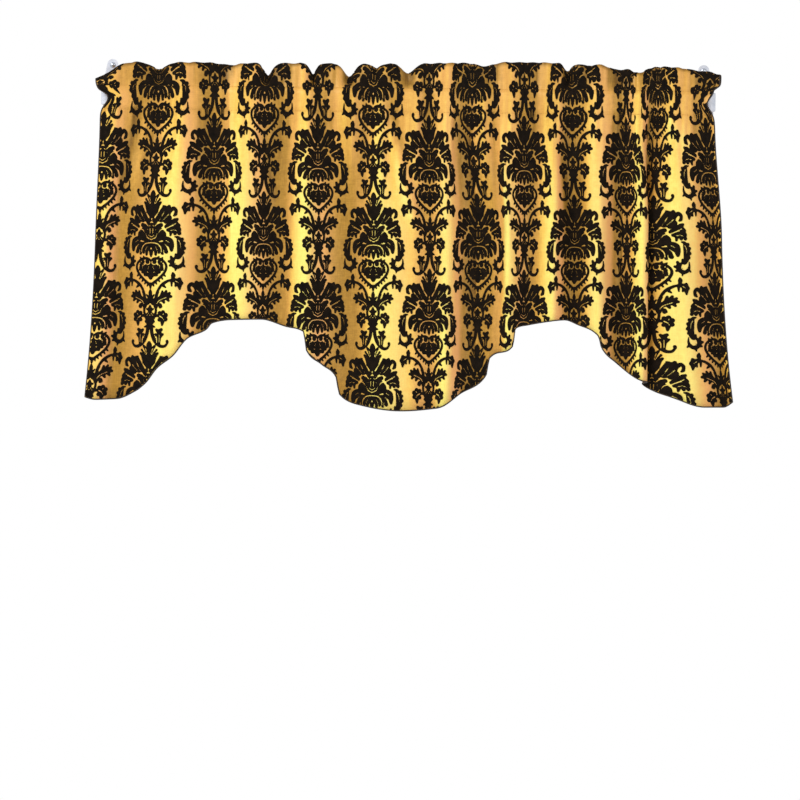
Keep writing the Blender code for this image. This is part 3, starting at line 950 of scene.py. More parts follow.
HEART = (
    pile((0, 94), (3, 91.4), (8, 90.2), (16.4, 92.2), (22.2, 97.6), (22.6, 104.6), (16.4, 113.4), (1.4, 125),
         wide=(1.2, 1.3, 1.4, 1.4, 1.5, 1.6, 1.6, 1.7)),
    pile((10.6, 90.2), (12.4, 87.6), wide=(1.8, 0.7)),
    pile((15, 91.6), (17.8, 89.4), wide=(1.9, 0.8)),
    pile((5.6, 94.6), wide=(3,)),
    pile((12.8, 95), (16.4, 98), wide=(2.6, 2.4)),
    pile((0, 99), (0, 107), (0, 115.4), wide=(3.6, 7.6, 3)),
    pile((6.6, 101.4), (13, 103.4), wide=(4.4, 4.4)),
    pile((15.4, 100), (16.8, 104.4), wide=(2.6, 2.5)),
    pile((5, 110.6), (9.2, 112), wide=(3.6, 2)),
    pile((11, 107.8), (13.6, 108.8), wide=(3, 1.5)),
    slit((1.8, 93.4), (1.8, 97), (5.4, 98.4), (9, 96.8), (9.8, 93.4), wide=(0.5, 0.6, 0.6, 0.6, 0.5)),
    slit((9.6, 98.4), (13.4, 100), (13.6, 103.4), wide=(0.6, 0.55, 0.5)),
    slit((3, 101), (4.8, 104.6), wide=(0.5, 0.5)),
    slit((3, 109), (6, 108.4), wide=(0.5, 0.55)),
    slit((15.6, 94.8), wide=(0.85,)),
    slit((18.4, 97), wide=(0.95,)),
    slit((19.9, 100.4), wide=(0.95,)),
    slit((19.9, 104), wide=(0.95,)),
    slit((18.2, 107.4), wide=(0.95,)),
    slit((15.4, 110.4), (8, 116.8), (0, 121.4), wide=(0.9, 1.1, 1.2)),
    pile((19, 111), (21.8, 113.6), wide=(1.4, 0.9)),
    pile((15.4, 114.4), (18, 117.4), wide=(1.4, 0.9)),
    pile((11.4, 117.6), (13.6, 120.8), wide=(1.4, 0.9)),
    pile((7.4, 120.8), (9.2, 124), wide=(1.4, 0.9)),
    pile((3.8, 123.4), (5, 126.8), wide=(1.4, 0.9)),
    pile((0, 124.6), (0, 129), wide=(2.4, 1.4)),
)

TREFOIL = (
    pile((32.6, 109), (33.2, 112.6), (32, 118), wide=(0.9, 3, 1.4)),
    pile((31, 118.6), (37, 119.6), (41, 121.4), wide=(1.5, 3.2, 4.4)),
    pile((41.6, 117.6), wide=(2.4,)),
    pile((44, 122.6), wide=(2.6,)),
    pile((41.4, 124), (42, 130.4), wide=(4, 1.2)),
    pile((38, 121.6), (36.4, 126.4), wide=(2.8, 1.2)),
    pile((30.8, 119), (31.2, 126.4), wide=(1.9, 0.9)),
    slit((36, 119.6), (40.4, 122.4), wide=(0.5, 0.5)),
)

ARCH_STEM = (
    pile((32.6, 118.4), (24.6, 120.4), (16.6, 126), (10.6, 135.6), (7.4, 147), wide=(1.3, 1.6, 2.1, 2, 1.9)),
    pile((18.6, 125.4), (22.6, 128.6), wide=(2.2, 0.8)),
    slit((17.6, 127.6), (13.4, 133.6), wide=(0.5, 0.5)),
)

BUD_AND_VASE = (
    pile((0, 132.4), (0, 136), (0, 141), wide=(1.3, 2.7, 1.8)),
    pile((5.6, 138.4), (1.6, 143), wide=(0.8, 1.8)),
    pile((0, 142.4), (0, 147.4), wide=(3, 5.6)),
    pile((5.4, 146.4), (8, 154), wide=(3.2, 2.2)),
    pile((7.8, 152), (9, 158.6), (7.6, 165.6), (3, 173), (0, 175.4), wide=(1.6, 1.5, 1.6, 2, 3)),
    slit((0, 150.2), (4, 154.6), (6.4, 159), (5.4, 163.4), wide=(0.7, 0.8, 0.8, 0.6)),
    pile((0, 153), (0, 157.6), (0, 160), wide=(1.2, 3.4, 3)),
    pile((0, 158), (4.6, 157.4), wide=(2.4, 1.2)),
    pile((0, 163.4), (4.2, 164.4), wide=(3.2, 1.8)),
    pile((0, 166), (0, 172), wide=(4.8, 4.2)),
    slit((1.6, 162.4), (5.2, 166.6), wide=(0.5, 0.5)),
    slit((0, 165.4), wide=(0.9,)),
)

SPREADING_LEAF = (
    pile((7.8, 152.4), (12.6, 145.6), (19.6, 141), (25, 139.8), wide=(1.9, 2.9, 4.8, 4)),
    pile((17.2, 138.6), (18, 133.8), wide=(2.4, 1.3)),
    pile((21.6, 137.6), (23.6, 133.4), wide=(2.8, 1.5)),
    pile((25.6, 138), (28.6, 135.8), wide=(2.4, 1.4)),
    pile((27.4, 140), (30.6, 140.4), wide=(2.6, 1.6)),
    pile((24, 142.6), (27, 145.8), wide=(2.4, 1.5)),
    pile((18, 144.4), (20.6, 148.4), wide=(2.8, 1.5)),
    slit((9.6, 150.6), (14, 145.8), (24, 141.6), wide=(0.6, 0.6, 0.5)),
    pile((9, 155.6), (11.4, 151.8), (15.4, 151), (17, 154), wide=(1.6, 1.4, 1.4, 1.3)),
    pile((15, 154.2), wide=(2.2,)),
)

FLOWER = (
    pile((3, 172), (7, 167), (13, 166), wide=(1.5, 1.5, 1.6)),
    pile((18, 167.4), wide=(5,)),
    pile((14.6, 162.6), wide=(2.7,)),
    pile((19.4, 161.4), wide=(2.7,)),
    pile((23.4, 165), wide=(2.8,)),
    pile((23, 170.6), wide=(2.8,)),
    pile((18, 169), (18.6, 174), (18.2, 178.4), wide=(3.4, 2.7, 1.2)),
    pile((14, 171.4), wide=(2.3,)),
    slit((14.4, 166.4), (18.4, 168.6), (20.6, 172), wide=(0.8, 0.5, 0.5)),
    slit((19, 165), (20.6, 162.6), wide=(0.5, 0.5)),
)

SCROLL = (
    pile((0, 174), (0, 181), wide=(3.6, 3)),
    pile((0, 179), (6.6, 173.6), wide=(1.8, 1.2)),
    pile((1.6, 178.4), (7.6, 181), wide=(1.8, 0.9)),
    pile((2.8, 179), (3.6, 189), (8, 199.4), (15.4, 205.8), (22.4, 206.2), (26.6, 201.4),
         wide=(2.2, 2.4, 2.3, 2.1, 1.6, 1.2)),
    pile((25.8, 199.8), wide=(2,)),
    pile((13.6, 204), (13.6, 195), (14.6, 188.4), wide=(2.2, 3.5, 3)),
    pile((15, 186), (17.4, 184.4), wide=(2.6, 2)),
    pile((12.8, 187), (10.4, 184.8), wide=(2.4, 1.7)),
    pile((12.4, 195), (9, 190.4), wide=(2.6, 1.2)),
    pile((15.8, 193), (19.4, 190.6), wide=(2.6, 1.5)),
    slit((10.8, 201.6), (10.8, 196), (9.4, 192.8), wide=(0.7, 0.6, 0.5)),
    slit((14.4, 201), (14.2, 191), wide=(0.5, 0.5)),
)


@dataclass
class DamaskRepeat:
    """The damask's repeat: one motif in columns, each column dropped half a repeat below its neighbours.

    The strokes are drawn at the motif's full width and set in a little on the cloth, and axes says where each
    column's axis lies across it, because the gathers draw the woven pitch in and out by a few millimetres.
    """

    column_pitch: float = 79.3
    repeat: float = 199.0
    cells_across: int = 81
    cells_down: int = 202
    first_tip: float = -24.0
    set_in: float = 0.885
    spread: float = 0.2
    reach_cells: int = 60
    overlap_cells: int = 12
    axes: tuple[float, ...] = (-76, 5, 86, 169, 242, 323, 400.5, 478, 552.5, 636, 714, 798, 872, 958, 1040)
    woven_down: tuple[float, ...] = (-120, -24, 34, 65.5, 75.5, 105, 140, 175, 480)
    hung_down: tuple[float, ...] = (-142, -45, 19, 58.5, 71.5, 103, 139.5, 175, 480)
    features: tuple[tuple[Stroke, ...], ...] = (
        PLUME, UPPER_LEAF, FAN_LEAF, BOWL, SKIRT, COMMA_LEAF, HORN, HEART,
        TREFOIL, ARCH_STEM, BUD_AND_VASE, SPREADING_LEAF, FLOWER, SCROLL,
    )

    @property
    def step_across(self) -> float:
        """Spacing of the pattern's fine lattice across the cloth."""
        return self.column_pitch / self.cells_across

    @property
    def step_down(self) -> float:
        """Spacing of the lattice down the cloth."""
        return self.repeat / self.cells_down

    def across(self, columns: np.ndarray) -> np.ndarray:
        """Places across the cloth of the lattice's columns, counted from the first axis before the edge."""
        return smooth_curve(np.arange(len(self.axes)) * self.cells_across, self.axes, columns)

    def down(self, rows: np.ndarray) -> np.ndarray:
        """Places down the hanging cloth of the lattice's rows, drawn out a little by header and pocket."""
        return smooth_curve(self.woven_down, self.hung_down, rows * self.step_down)

    def motif(self) -> np.ndarray:
        """Signed distance to the motif's outline for one side of the axis, wrapped to one repeat.

        Returns:
            An array of lattice rows down by columns away from the axis.
        """
        away = np.arange(self.reach_cells + 1) * self.step_across / self.set_in
        below = np.arange(-self.overlap_cells, self.cells_down + self.overlap_cells) * self.step_down
        from_axis, at = np.meshgrid(away, below)
        whole = np.full(from_axis.shape, 9.0)
        for strokes in self.features:
            part = np.full(from_axis.shape, 9.0)
            for stroke in strokes:
                distance = stroke.distance(from_axis, at)
                if stroke.laid is Laid.PILE:
                    part = np.minimum(part, distance - self.spread)
                else:
                    part = np.maximum(part, -distance)
            whole = np.minimum(whole, part)
        wrapped = whole[self.overlap_cells : self.overlap_cells + self.cells_down].copy()
        shared = self.overlap_cells
        wrapped[-shared:] = np.minimum(wrapped[-shared:], whole[:shared])
        wrapped[:shared] = np.minimum(wrapped[:shared], whole[-shared:])
        return wrapped

    def over(self, columns: np.ndarray, rows: np.ndarray) -> np.ndarray:
        """Signed distance to the pattern over a stretch of the lattice.

        Args:
            columns: Lattice columns, counted across the cloth.
            rows: Lattice rows, counted down it.

        Returns:
            An array of rows by columns.
        """
        motif = self.motif()
        whole = np.full((len(rows), len(columns)), 9.0)
        for column in range(len(self.axes)):
            away = np.abs(columns - column * self.cells_across)
            near = away <= self.reach_cells
            drop = self.cells_down // 2 if column % 2 else 0
            first_row = round(self.first_tip / self.step_down) + drop
            down = (rows - first_row) % self.cells_down
            whole[:, near] = np.minimum(whole[:, near], motif[np.ix_(down, away[near])])
        return whole


def new_mesh_piece(name: str, points: np.ndarray, faces: list) -> bpy.types.Object:
    """An object for a mesh that no primitive gives, such as a pattern that follows the folds."""
    mesh = bpy.data.meshes.new(name)
    mesh.from_pydata(points, [], faces)
    mesh.validate()
    made = bpy.data.objects.new(name, mesh)
    bpy.context.scene.collection.objects.link(made)
    return made


def select_only(piece: bpy.types.Object) -> None:
    """Makes one object the selected and active one."""
    bpy.ops.object.select_all(action="DESELECT")
    piece.select_set(True)
    bpy.context.view_layer.objects.active = piece


def set_uv(piece: bpy.types.Object, across: np.ndarray, down: np.ndarray) -> None:
    """Gives a piece the cloth's own UV map, in metres on the flat panel."""
    mesh = piece.data
    layer = mesh.uv_layers[0] if mesh.uv_layers else mesh.uv_layers.new(name="cloth")
    layer.name = "cloth"
    corner = np.empty(len(mesh.loops), dtype=np.int32)
    mesh.loops.foreach_get("vertex_index", corner)
    layer.data.foreach_set("uv", (np.column_stack([across, -down])[corner] * MM).astype(np.float32).ravel())


def set_attribute(piece: bpy.types.Object, name: str, values: np.ndarray) -> None:
    """Gives each point of a piece a number that its material reads."""
    piece.data.attributes.new(name, "FLOAT", "POINT").data.foreach_set("value", values.astype(np.float32))


@dataclass
class TaffetaPanel:
    """The gathered panel: its front with the scalloped hem, the header, and the turned top behind the rod."""

    columns: int = 432
    header_rows: int = 9
    pocket_rows: int = 14
    skirt_rows: int = 40
    common_depth: float = 232.0
    # Painted light: the cloth's base brightness is painted darker on the header and lighter down the skirt,
    # and fold crests lighter and valleys darker.
    header_painted_light: float = 0.36
    rod_painted_light: float = 0.46
    skirt_painted_light: float = 0.6
    painted_fold_contrast: float = 0.42
    fold_height: float = 6.0

    def rows(self, across: np.ndarray) -> list[np.ndarray]:
        """Distances down the panel for each row of its grid, from the hem up the front and down the back."""
        level = np.ones_like(across)
        hem = CLOTH.hem(across)
        start = CLOTH.stitch_down
        shares = np.linspace(0.0, 1.0, self.skirt_rows + 1) ** 1.15
        skirt = [
            start + s * self.common_depth + s**3 * (hem - start - self.common_depth) for s in shares
        ]
        pocket = [d * level for d in np.linspace(start, CLOTH.header_down, self.pocket_rows + 1)]
        tight = 1.0 - np.cos(np.linspace(0, math.pi / 2, self.header_rows + 1))
        header = [CLOTH.header_down * t * level for t in (1 - tight)]
        front = [*skirt[::-1], *pocket[1:], *header[1:-1]]
        behind = [-row for row in [*skirt[:1], *pocket[1:], *header[1:-1]]]
        turned_end = -CLOTH.turned_end_down * level
        return [*front, 0.7 * level, 0 * level, -0.7 * level, *behind[::-1], turned_end]

    def painted_light(self, across: np.ndarray, down: np.ndarray) -> tuple[np.ndarray, np.ndarray]:
        """The taffeta's painted light and shade by how far each fold stands out, and its painted peach sheen.

        Args:
            across: Distances across the flat panel.
            down: Distances down it.

        Returns:
            The painted light, 0 for shade in a valley to 1 for a highlight on a crest, and the peach sheen's
            share.
        """
        reach = np.abs(down)
        step = 3.0
        # Painted light: the header's colour is painted darker, and the skirt's lighter towards the hem.
        level = self.header_painted_light + (self.rod_painted_light - self.header_painted_light) * ease((reach - 22.0) / 26.0)
        level = level + (self.skirt_painted_light - self.rod_painted_light) * ease((reach - 58.0) / 180.0)
        # Painted light and shade: a fold's crest is painted lighter and its valley darker, by how far it
        # stands out.
        proud = CLOTH.out_at(across, reach) - read_table(STATIONS, "down", "plane", reach)
        along_fold = level + self.painted_fold_contrast * np.tanh(proud / self.fold_height)
        # Painted light: fine gathers and their left-facing sides are painted lighter, and the cloth beside
        # each lapped fold gets a painted shadow.
        fine = CLOTH.relief(across, reach)
        tilt = CLOTH.relief(across + step, reach) - CLOTH.relief(across - step, reach)
        painted_light = 0.04 + 0.92 * along_fold + 0.04 * fine + 0.05 * tilt - 0.13 * CLOTH.laps(across, reach)[1]
        # Painted shade: a dark band along the header's top fold and a faint one along the lower row of
        # stitches.
        painted_light = painted_light - 0.4 * np.exp(-((reach / 2.2) ** 2)) - 0.05 * np.exp(-(((reach - 69.0) / 3.5) ** 2))
        z = CLOTH.height(across, down)
        run = CLOTH.x_at(across + step, z) - CLOTH.x_at(across - step, z)
        lean = CLOTH.out_at(across + step, reach) - CLOTH.out_at(across - step, reach)
        slope = lean / np.maximum(run, 1.0)
        # Painted sheen: flanks that face right are painted peach, unevenly, and only where the painted light
        # is bright enough.
        peach_sheen = 0.08 + 0.75 * np.clip(-slope, 0, 1) + 0.24 * ripple(across + 0.06 * down, 26.0, 21)
        peach_sheen = peach_sheen * ease((painted_light - 0.15) / 0.4)
        return np.clip(painted_light, 0.02, 1.0), np.clip(peach_sheen, 0.0, 0.8)

    def build(self, face: bpy.types.Material, reverse: bpy.types.Material) -> bpy.types.Object:
        """Builds the cloth from a grid whose points are moved onto the folds, then given its thickness."""
        across_row = np.linspace(0.0, CLOTH.width, self.columns + 1)
        rows = self.rows(across_row)
        bpy.ops.mesh.primitive_grid_add(x_subdivisions=self.columns, y_subdivisions=len(rows) - 1, size=2.0)
        piece = bpy.context.active_object
        piece.name = "taffeta_panel"
        mesh = piece.data
        flat = np.empty(len(mesh.vertices) * 3)
        mesh.vertices.foreach_get("co", flat)
        flat = flat.reshape(-1, 3)
        col = np.rint((flat[:, 0] + 1) / 2 * self.columns).astype(int)
        row = np.rint((flat[:, 1] + 1) / 2 * (len(rows) - 1)).astype(int)
        across, down = across_row[col], np.array(rows)[row, col]
        mesh.vertices.foreach_set("co", CLOTH.raised(across, down, 0.0).ravel())
        set_uv(piece, across, down)
        # Stores the painted light and shade and the painted peach sheen on the cloth's points.
        painted_light, peach_sheen = self.painted_light(across, down)
        set_attribute(piece, "painted_light", painted_light)
        set_attribute(piece, "peach_sheen", peach_sheen)
        mesh.materials.append(face)
        mesh.materials.append(reverse)
        mesh.shade_smooth()
        select_only(piece)
        wall = piece.modifiers.new("thickness", "SOLIDIFY")
        wall.thickness = CLOTH.thickness * MM
        wall.offset = 0.0
        wall.material_offset = 1
        wall.material_offset_rim = 1
        bpy.ops.object.modifier_apply(modifier=wall.name)
        return piece


@dataclass
class FlockedDamask:
    """The raised pile, as a thin layer standing on the taffeta wherever the pattern is black."""

    pattern: DamaskRepeat
    pile_height: float = 0.5
    sunk: float = 0.02
    edge_margin: float = 1.1
    block_across: int = 2
    block_down: int = 4
    pieces: int = 5
    behind: float = 66.0

    def lattice(self) -> tuple[np.ndarray, np.ndarray, np.ndarray]:
        """The lattice over the panel and the clipped signed distance at its nodes."""
        columns = np.arange((len(self.pattern.axes) - 1) * self.pattern.cells_across + 1)
        on_cloth = (self.pattern.across(columns) > -1.5) & (self.pattern.across(columns) < CLOTH.width + 1.5)
        columns = columns[on_cloth]
        first_row = -math.ceil(self.behind / self.pattern.step_down)
        last_row = math.ceil(CLOTH.hem(np.arange(0.0, CLOTH.width)).max() / self.pattern.step_down)
        rows = np.arange(first_row, last_row + 1)
        distance = self.pattern.over(columns, rows)
        across = self.pattern.across(columns)
        down = self.pattern.down(rows)
        hem = CLOTH.hem(across)
        steep = np.hypot(1.0, np.gradient(hem, across))
        past_hem = (down[:, None] - hem[None, :] + self.edge_margin * steep) / steep
        past_side = np.maximum(self.edge_margin - across, across - (CLOTH.width - self.edge_margin))
        past_end = -self.behind + 1.5 - down
        distance = np.maximum(distance, past_hem)
        distance = np.maximum(distance, past_side[None, :])
        distance = np.maximum(distance, past_end[:, None])
        return across, down, distance

    def build(self, material: bpy.types.Material) -> list[bpy.types.Object]:
        """Cuts the pattern's outline from the lattice, merges the inner cells and stands it on the cloth."""
        across, down, distance = self.lattice()
        inside = distance < 0
        n_rows, n_cols = distance.shape
        node = np.arange(n_rows * n_cols).reshape(n_rows, n_cols)

        def crossing(f0: np.ndarray, f1: np.ndarray) -> np.ndarray:
            """Where the outline crosses between two nodes."""
            return np.clip(f0 / np.where(f0 == f1, 1.0, f0 - f1), 0.06, 0.94)

        level_t = crossing(distance[:, :-1], distance[:, 1:])
        level_cut = inside[:, :-1] != inside[:, 1:]
        upright_t = crossing(distance[:-1], distance[1:])
        upright_cut = inside[:-1] != inside[1:]
        level_id = node.size + np.cumsum(level_cut.ravel()).reshape(level_cut.shape) - 1
        first_upright = node.size + int(level_cut.sum())
        upright_id = first_upright + np.cumsum(upright_cut.ravel()).reshape(upright_cut.shape) - 1

        grid_across = np.broadcast_to(across, distance.shape)
        grid_down = np.broadcast_to(down[:, None], distance.shape)
        r, c = np.nonzero(level_cut)
        level_across = across[c] + level_t[r, c] * (across[c + 1] - across[c])
        level_down = down[r]
        r, c = np.nonzero(upright_cut)
        upright_down = down[r] + upright_t[r, c] * (down[r + 1] - down[r])
        upright_across = across[c]
        all_across = np.concatenate([grid_across.ravel(), level_across, upright_across])
        all_down = np.concatenate([grid_down.ravel(), level_down, upright_down])

        corners = [node[:-1, :-1], node[1:, :-1], node[1:, 1:], node[:-1, 1:]]
        cuts = [upright_id[:, :-1], level_id[1:], upright_id[:, 1:], level_id[:-1]]
        held = [inside[:-1, :-1], inside[1:, :-1], inside[1:, 1:], inside[:-1, 1:]]
        case = sum(h.astype(int) << k for k, h in enumerate(held))

        full = case == 15
        blocks_r, blocks_c = full.shape[0] // self.block_down, full.shape[1] // self.block_across
        trimmed = full[: blocks_r * self.block_down, : blocks_c * self.block_across]
        whole = trimmed.reshape(blocks_r, self.block_down, blocks_c, self.block_across).all(axis=(1, 3))
        merged = np.zeros_like(full)
        merged[: blocks_r * self.block_down, : blocks_c * self.block_across] = np.repeat(
            np.repeat(whole, self.block_down, axis=0), self.block_across, axis=1
        )
        single = (case > 0) & ~merged
        used = np.zeros(node.size, dtype=bool)
        faces: list[tuple[int, list[int]]] = []
        walls: list[tuple[int, int, int]] = []
        for kind in range(1, 16):
            where = single & (case == kind)
            if not where.any():
                continue
            cell_column = np.nonzero(where)[1]
            ring, is_cut = [], []
            for k in range(4):
                if kind >> k & 1:
                    ids = corners[k][where]
                    used[ids] = True
                    ring.append(ids)
                    is_cut.append(False)
                if (kind >> k & 1) != (kind >> (k + 1) % 4 & 1):
                    ring.append(cuts[k][where])
                    is_cut.append(True)
            faces += zip(cell_column.tolist(), np.column_stack(ring).tolist())
            for k, one in enumerate(is_cut):
                after = (k + 1) % len(is_cut)
                leaves = one and is_cut[after]
                if leaves:
                    walls += zip(cell_column.tolist(), ring[k].tolist(), ring[after].tolist())
        for block_r, block_c in zip(*np.nonzero(whole)):
            r0, c0 = block_r * self.block_down, block_c * self.block_across
            r1, c1 = r0 + self.block_down, c0 + self.block_across
            edge = [(r, c0) for r in range(r0, r1)] + [(r1, c) for c in range(c0, c1)]
            edge += [(r, c1) for r in range(r1, r0, -1)] + [(r0, c) for c in range(c1, c0, -1)]
            corner = {(r0, c0), (r1, c0), (r1, c1), (r0, c1)}
            faces.append((c0, [int(node[p]) for p in edge if p in corner or used[node[p]]]))

        base = len(all_across)
        all_across = np.concatenate([all_across, all_across[node.size :]])
        all_down = np.concatenate([all_down, all_down[node.size :]])
        lift = np.full(len(all_across), CLOTH.thickness / 2 + self.pile_height)
        lift[base:] = CLOTH.thickness / 2 - self.sunk
        to_foot = base - node.size
        faces += [(c, [q, p, p + to_foot, q + to_foot]) for c, p, q in walls]
        per_piece = n_cols / self.pieces
        made = []
        for number in range(self.pieces):
            mine = [ring for c, ring in faces if int(c / per_piece) == number]
            ids = np.unique(np.concatenate([np.array(ring) for ring in mine]))
            place = np.zeros(len(all_across), dtype=int)
            place[ids] = np.arange(len(ids))
            points = CLOTH.raised(all_across[ids], all_down[ids], lift[ids])
            renumbered = [place[ring].tolist() for ring in mine]
            piece = new_mesh_piece(f"damask_flock_{number + 1}", points, renumbered)
            set_uv(piece, all_across[ids], all_down[ids])
            piece.data.materials.append(material)
            piece.data.shade_smooth()
            made.append(piece)
        return made


@dataclass
class OverlockedEdge:
    """The dark thread that binds the panel's cut edge, down one side, along the hem and up the other side."""

    radius: float = 0.95
    step: float = 2.4
    inset: float = 0.3

    def build(self, material: bpy.types.Material) -> bpy.types.Object:
        """Builds the edge as a thin tube drawn along a curve on the cloth's edge."""
        across = np.arange(0.0, CLOTH.width + self.step / 2, self.step)
        hem = CLOTH.hem(across) - self.inset
        left_down = np.arange(-CLOTH.header_down, hem[0] - self.step, self.step)
        right_down = np.arange(hem[-1] - self.step, -CLOTH.header_down, -self.step)
        left = np.full(len(left_down), self.inset)
        right = np.full(len(right_down), CLOTH.width - self.inset)
        route_across = np.concatenate([left, np.clip(across, self.inset, CLOTH.width - self.inset), right])
        route_down = np.concatenate([left_down, hem, right_down])
        points = CLOTH.raised(route_across, route_down, 0.0)
        return tube_along("overlocked_edge", points, self.radius, material)


def tube_along(
    name: str, points: np.ndarray, radius: float, material: bpy.types.Material
) -> bpy.types.Object:
    """A thin tube through points, drawn as a curve with a round bevel and made a mesh.

    Args:
        name: The piece's name.
        points: The route, in metres.
        radius: The tube's radius in millimetres.
        material: The piece's finish.

    Returns:
        The mesh object.
    """
    curve = bpy.data.curves.new(name, "CURVE")
    curve.dimensions = "3D"
    curve.bevel_depth = radius * MM
    curve.bevel_resolution = 1
    curve.use_fill_caps = True
    spline = curve.splines.new("POLY")
    spline.points.add(len(points) - 1)
    weighted = np.column_stack([points, np.ones(len(points))])
    spline.points.foreach_set("co", weighted.astype(np.float32).ravel())
    piece = bpy.data.objects.new(name, curve)
    bpy.context.scene.collection.objects.link(piece)
    select_only(piece)
    bpy.ops.object.convert(target="MESH")
    piece.data.shade_smooth()
    piece.data.materials.clear()
    piece.data.materials.append(material)
    return piece


@dataclass
class PocketStitches:
    """Two rows of machine stitches: one under the header, one below the rod."""

    pitch: float = 3.4
    length: float = 2.7
    radius: float = 0.24
    rows: tuple[float, ...] = (33.0, 69.5)

    def build(self, material: bpy.types.Material) -> bpy.types.Object:
        """Models one stitch from a sphere and sets its copies along the cloth's two stitched lines."""
        bpy.ops.mesh.primitive_uv_sphere_add(segments=5, ring_count=4, radius=1.0)
        piece = bpy.context.active_object
        piece.name = "pocket_stitches"
        one = np.array([v.co[:] for v in piece.data.vertices])
        one = one[:, [2, 0, 1]]
        one_faces = [list(p.vertices) for p in piece.data.polygons]
        bpy.data.objects.remove(piece)
        starts = np.arange(4.0, CLOTH.width - 4.0, self.pitch)
        across = np.tile(starts, len(self.rows))
        down = np.repeat(np.array(self.rows), len(starts))
        centre = CLOTH.raised(across, down, CLOTH.thickness / 2)
        along = CLOTH.raised(across + 1, down, 0.0) - CLOTH.raised(across - 1, down, 0.0)
        along = along / np.linalg.norm(along, axis=1)[:, None]
        out = CLOTH.outward(across, down)
        side = np.cross(along, out)
        size = np.array([self.length / 2, self.radius, self.radius]) * MM
        local = one * size
        points = (
            centre[:, None, :]
            + local[None, :, 0:1] * along[:, None, :]
            + local[None, :, 1:2] * side[:, None, :]
            + local[None, :, 2:3] * out[:, None, :]
        ).reshape(-1, 3)
        faces = [[v + k * len(one) for v in f] for k in range(len(across)) for f in one_faces]
        made = new_mesh_piece("pocket_stitches", points, faces)
        made.data.materials.append(material)
        made.data.shade_smooth()
        return made


@dataclass
class Valance:
    """The whole valance: the cloth with all that is on it."""

    flat_width: float = 0.976
    flat_length: float = 0.552
    panel: TaffetaPanel = field(default_factory=TaffetaPanel)
    flock: FlockedDamask = field(default_factory=lambda: FlockedDamask(DamaskRepeat()))
    edge: OverlockedEdge = field(default_factory=OverlockedEdge)
    stitches: PocketStitches = field(default_factory=PocketStitches)

    def build(self) -> list[bpy.types.Object]:
        """Builds the valance's pieces and sets them on the rod in place of the plain solid."""
        face = GoldTaffeta().build()
        reverse = GoldTaffeta(
            name="gold_taffeta_reverse", body="C08835", light="D8A94A", crest="E6C45E", roughness=0.55
        ).build()
        cloth = self.panel.build(face, reverse)
        on_it = self.flock.build(FlockPile().build())
        on_it.append(self.edge.build(SewingThread("brown_overlock_thread", "33200F", "1C1007").build()))
        on_it.append(self.stitches.build(SewingThread("gold_thread", "D6A044", "A8762C").build()))
        for piece in (cloth, *on_it):
            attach(piece, "root")
        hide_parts("valance")
        return [cloth, *on_it]


@dataclass
class Hardware:
    """The rod's two halves, the brackets and their screws, which keep their solids and get finishes."""

    enamel: WhiteEnamel = field(default_factory=WhiteEnamel)
    plate: ZincPlate = field(default_factory=ZincPlate)

    def build(self) -> list[bpy.types.Object]:
        """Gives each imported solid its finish."""
        enamel, plate = self.enamel.build(), self.plate.build()
        dressed = []
        for name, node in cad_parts.items():
            if name == "valance":
                continue
            node.data.materials.clear()
            node.data.materials.append(plate if name.startswith("screw") else enamel)
            dressed.append(node)
        return dressed


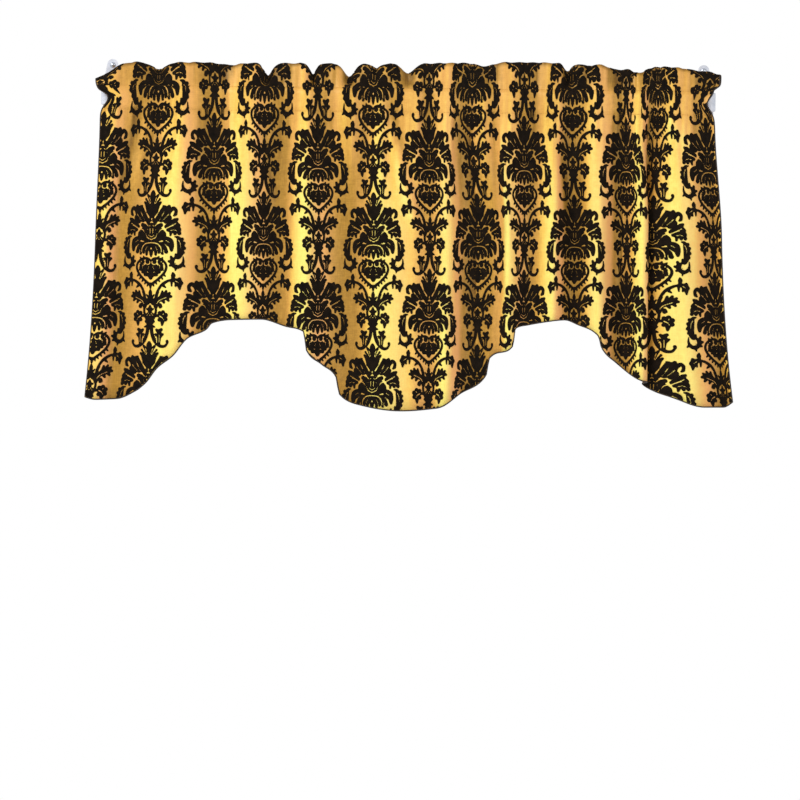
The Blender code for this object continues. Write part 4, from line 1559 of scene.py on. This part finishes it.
@dataclass
class Studio:
    """The camera at the photograph's view, a pale floor, and soft light."""

    image_px: int = 800
    mm_per_px: float = 1.32
    axis_px: tuple[float, float] = (406.5, 240.0)
    axis_z: float = -186.4
    cloth_y: float = -60.0
    distance: float = 9600.0
    roll_degrees: float = -0.6
    sensor: float = 36.0
    floor_z: float = -1.62

    def build(self) -> None:
        """Sets the camera, the lights, the world and the floor."""
        data = bpy.data.cameras.new("camera")
        data.sensor_width = self.sensor
        data.lens = self.sensor * self.distance / (self.image_px * self.mm_per_px)
        data.shift_x = (self.image_px / 2 - self.axis_px[0]) / self.image_px
        data.shift_y = (self.axis_px[1] - self.image_px / 2) / self.image_px
        camera = bpy.data.objects.new("camera", data)
        camera.location = (0.0, (self.cloth_y - self.distance) * MM, self.axis_z * MM)
        camera.rotation_euler = (math.radians(90), math.radians(self.roll_degrees), 0.0)
        bpy.context.scene.collection.objects.link(camera)
        bpy.context.scene.camera = camera
        self.light("key", (-1.9, -2.2, 1.3), 1.6, 60.0)
        self.light("fill", (2.2, -2.6, 0.2), 2.2, 28.0)
        self.light("behind", (0.6, 2.4, 1.8), 1.8, 30.0)
        self.world()
        bpy.ops.mesh.primitive_plane_add(size=4.0, location=(0.0, 0.0, self.floor_z))
        floor = bpy.context.active_object
        floor.name = "studio_floor"
        material, _ = new_material("pale_floor", Base_Color=linear("F4F4F2"), Roughness=0.8)
        floor.data.materials.append(material)
        scene = bpy.context.scene
        scene.view_settings.view_transform = "Standard"
        scene.view_settings.look = "None"

    def light(self, name: str, place: tuple[float, float, float], size: float, power: float) -> None:
        """A soft square lamp aimed at the valance's middle."""
        data = bpy.data.lights.new(name, "AREA")
        data.size = size
        data.energy = power
        lamp = bpy.data.objects.new(name, data)
        lamp.location = place
        aim = (self.axis_z * MM - place[2])
        flat = math.hypot(place[0], place[1])
        lamp.rotation_euler = (math.pi / 2 + math.atan2(aim, flat), 0.0, math.atan2(place[0], -place[1]))
        bpy.context.scene.collection.objects.link(lamp)

    def world(self) -> None:
        """A white room, seen as pure white, that lights the cloth more dimly than it looks."""
        world = bpy.data.worlds.new("studio")
        world.use_nodes = True
        bpy.context.scene.world = world
        tree = world.node_tree
        seen = tree.nodes["Background"]
        seen.inputs["Color"].default_value = (1.0, 1.0, 1.0, 1.0)
        lit = tree.nodes.new("ShaderNodeBackground")
        lit.inputs["Color"].default_value = linear("F6F7FA")
        lit.inputs["Strength"].default_value = 0.56
        ray = tree.nodes.new("ShaderNodeLightPath")
        mix = tree.nodes.new("ShaderNodeMixShader")
        tree.links.new(ray.outputs["Is Camera Ray"], mix.inputs[0])
        tree.links.new(lit.outputs[0], mix.inputs[1])
        tree.links.new(seen.outputs[0], mix.inputs[2])
        tree.links.new(mix.outputs[0], tree.nodes["World Output"].inputs["Surface"])


def main() -> None:
    """Builds the studio and the part, and reports each piece."""
    logging.basicConfig(level=logging.INFO, format="%(message)s")
    bpy.ops.object.select_all(action="DESELECT")
    Studio().build()
    for piece in (*Hardware().build(), *Valance().build()):
        LOG.info("%s: %d faces", piece.name, len(piece.data.polygons))


if __name__ == "__main__":
    main()
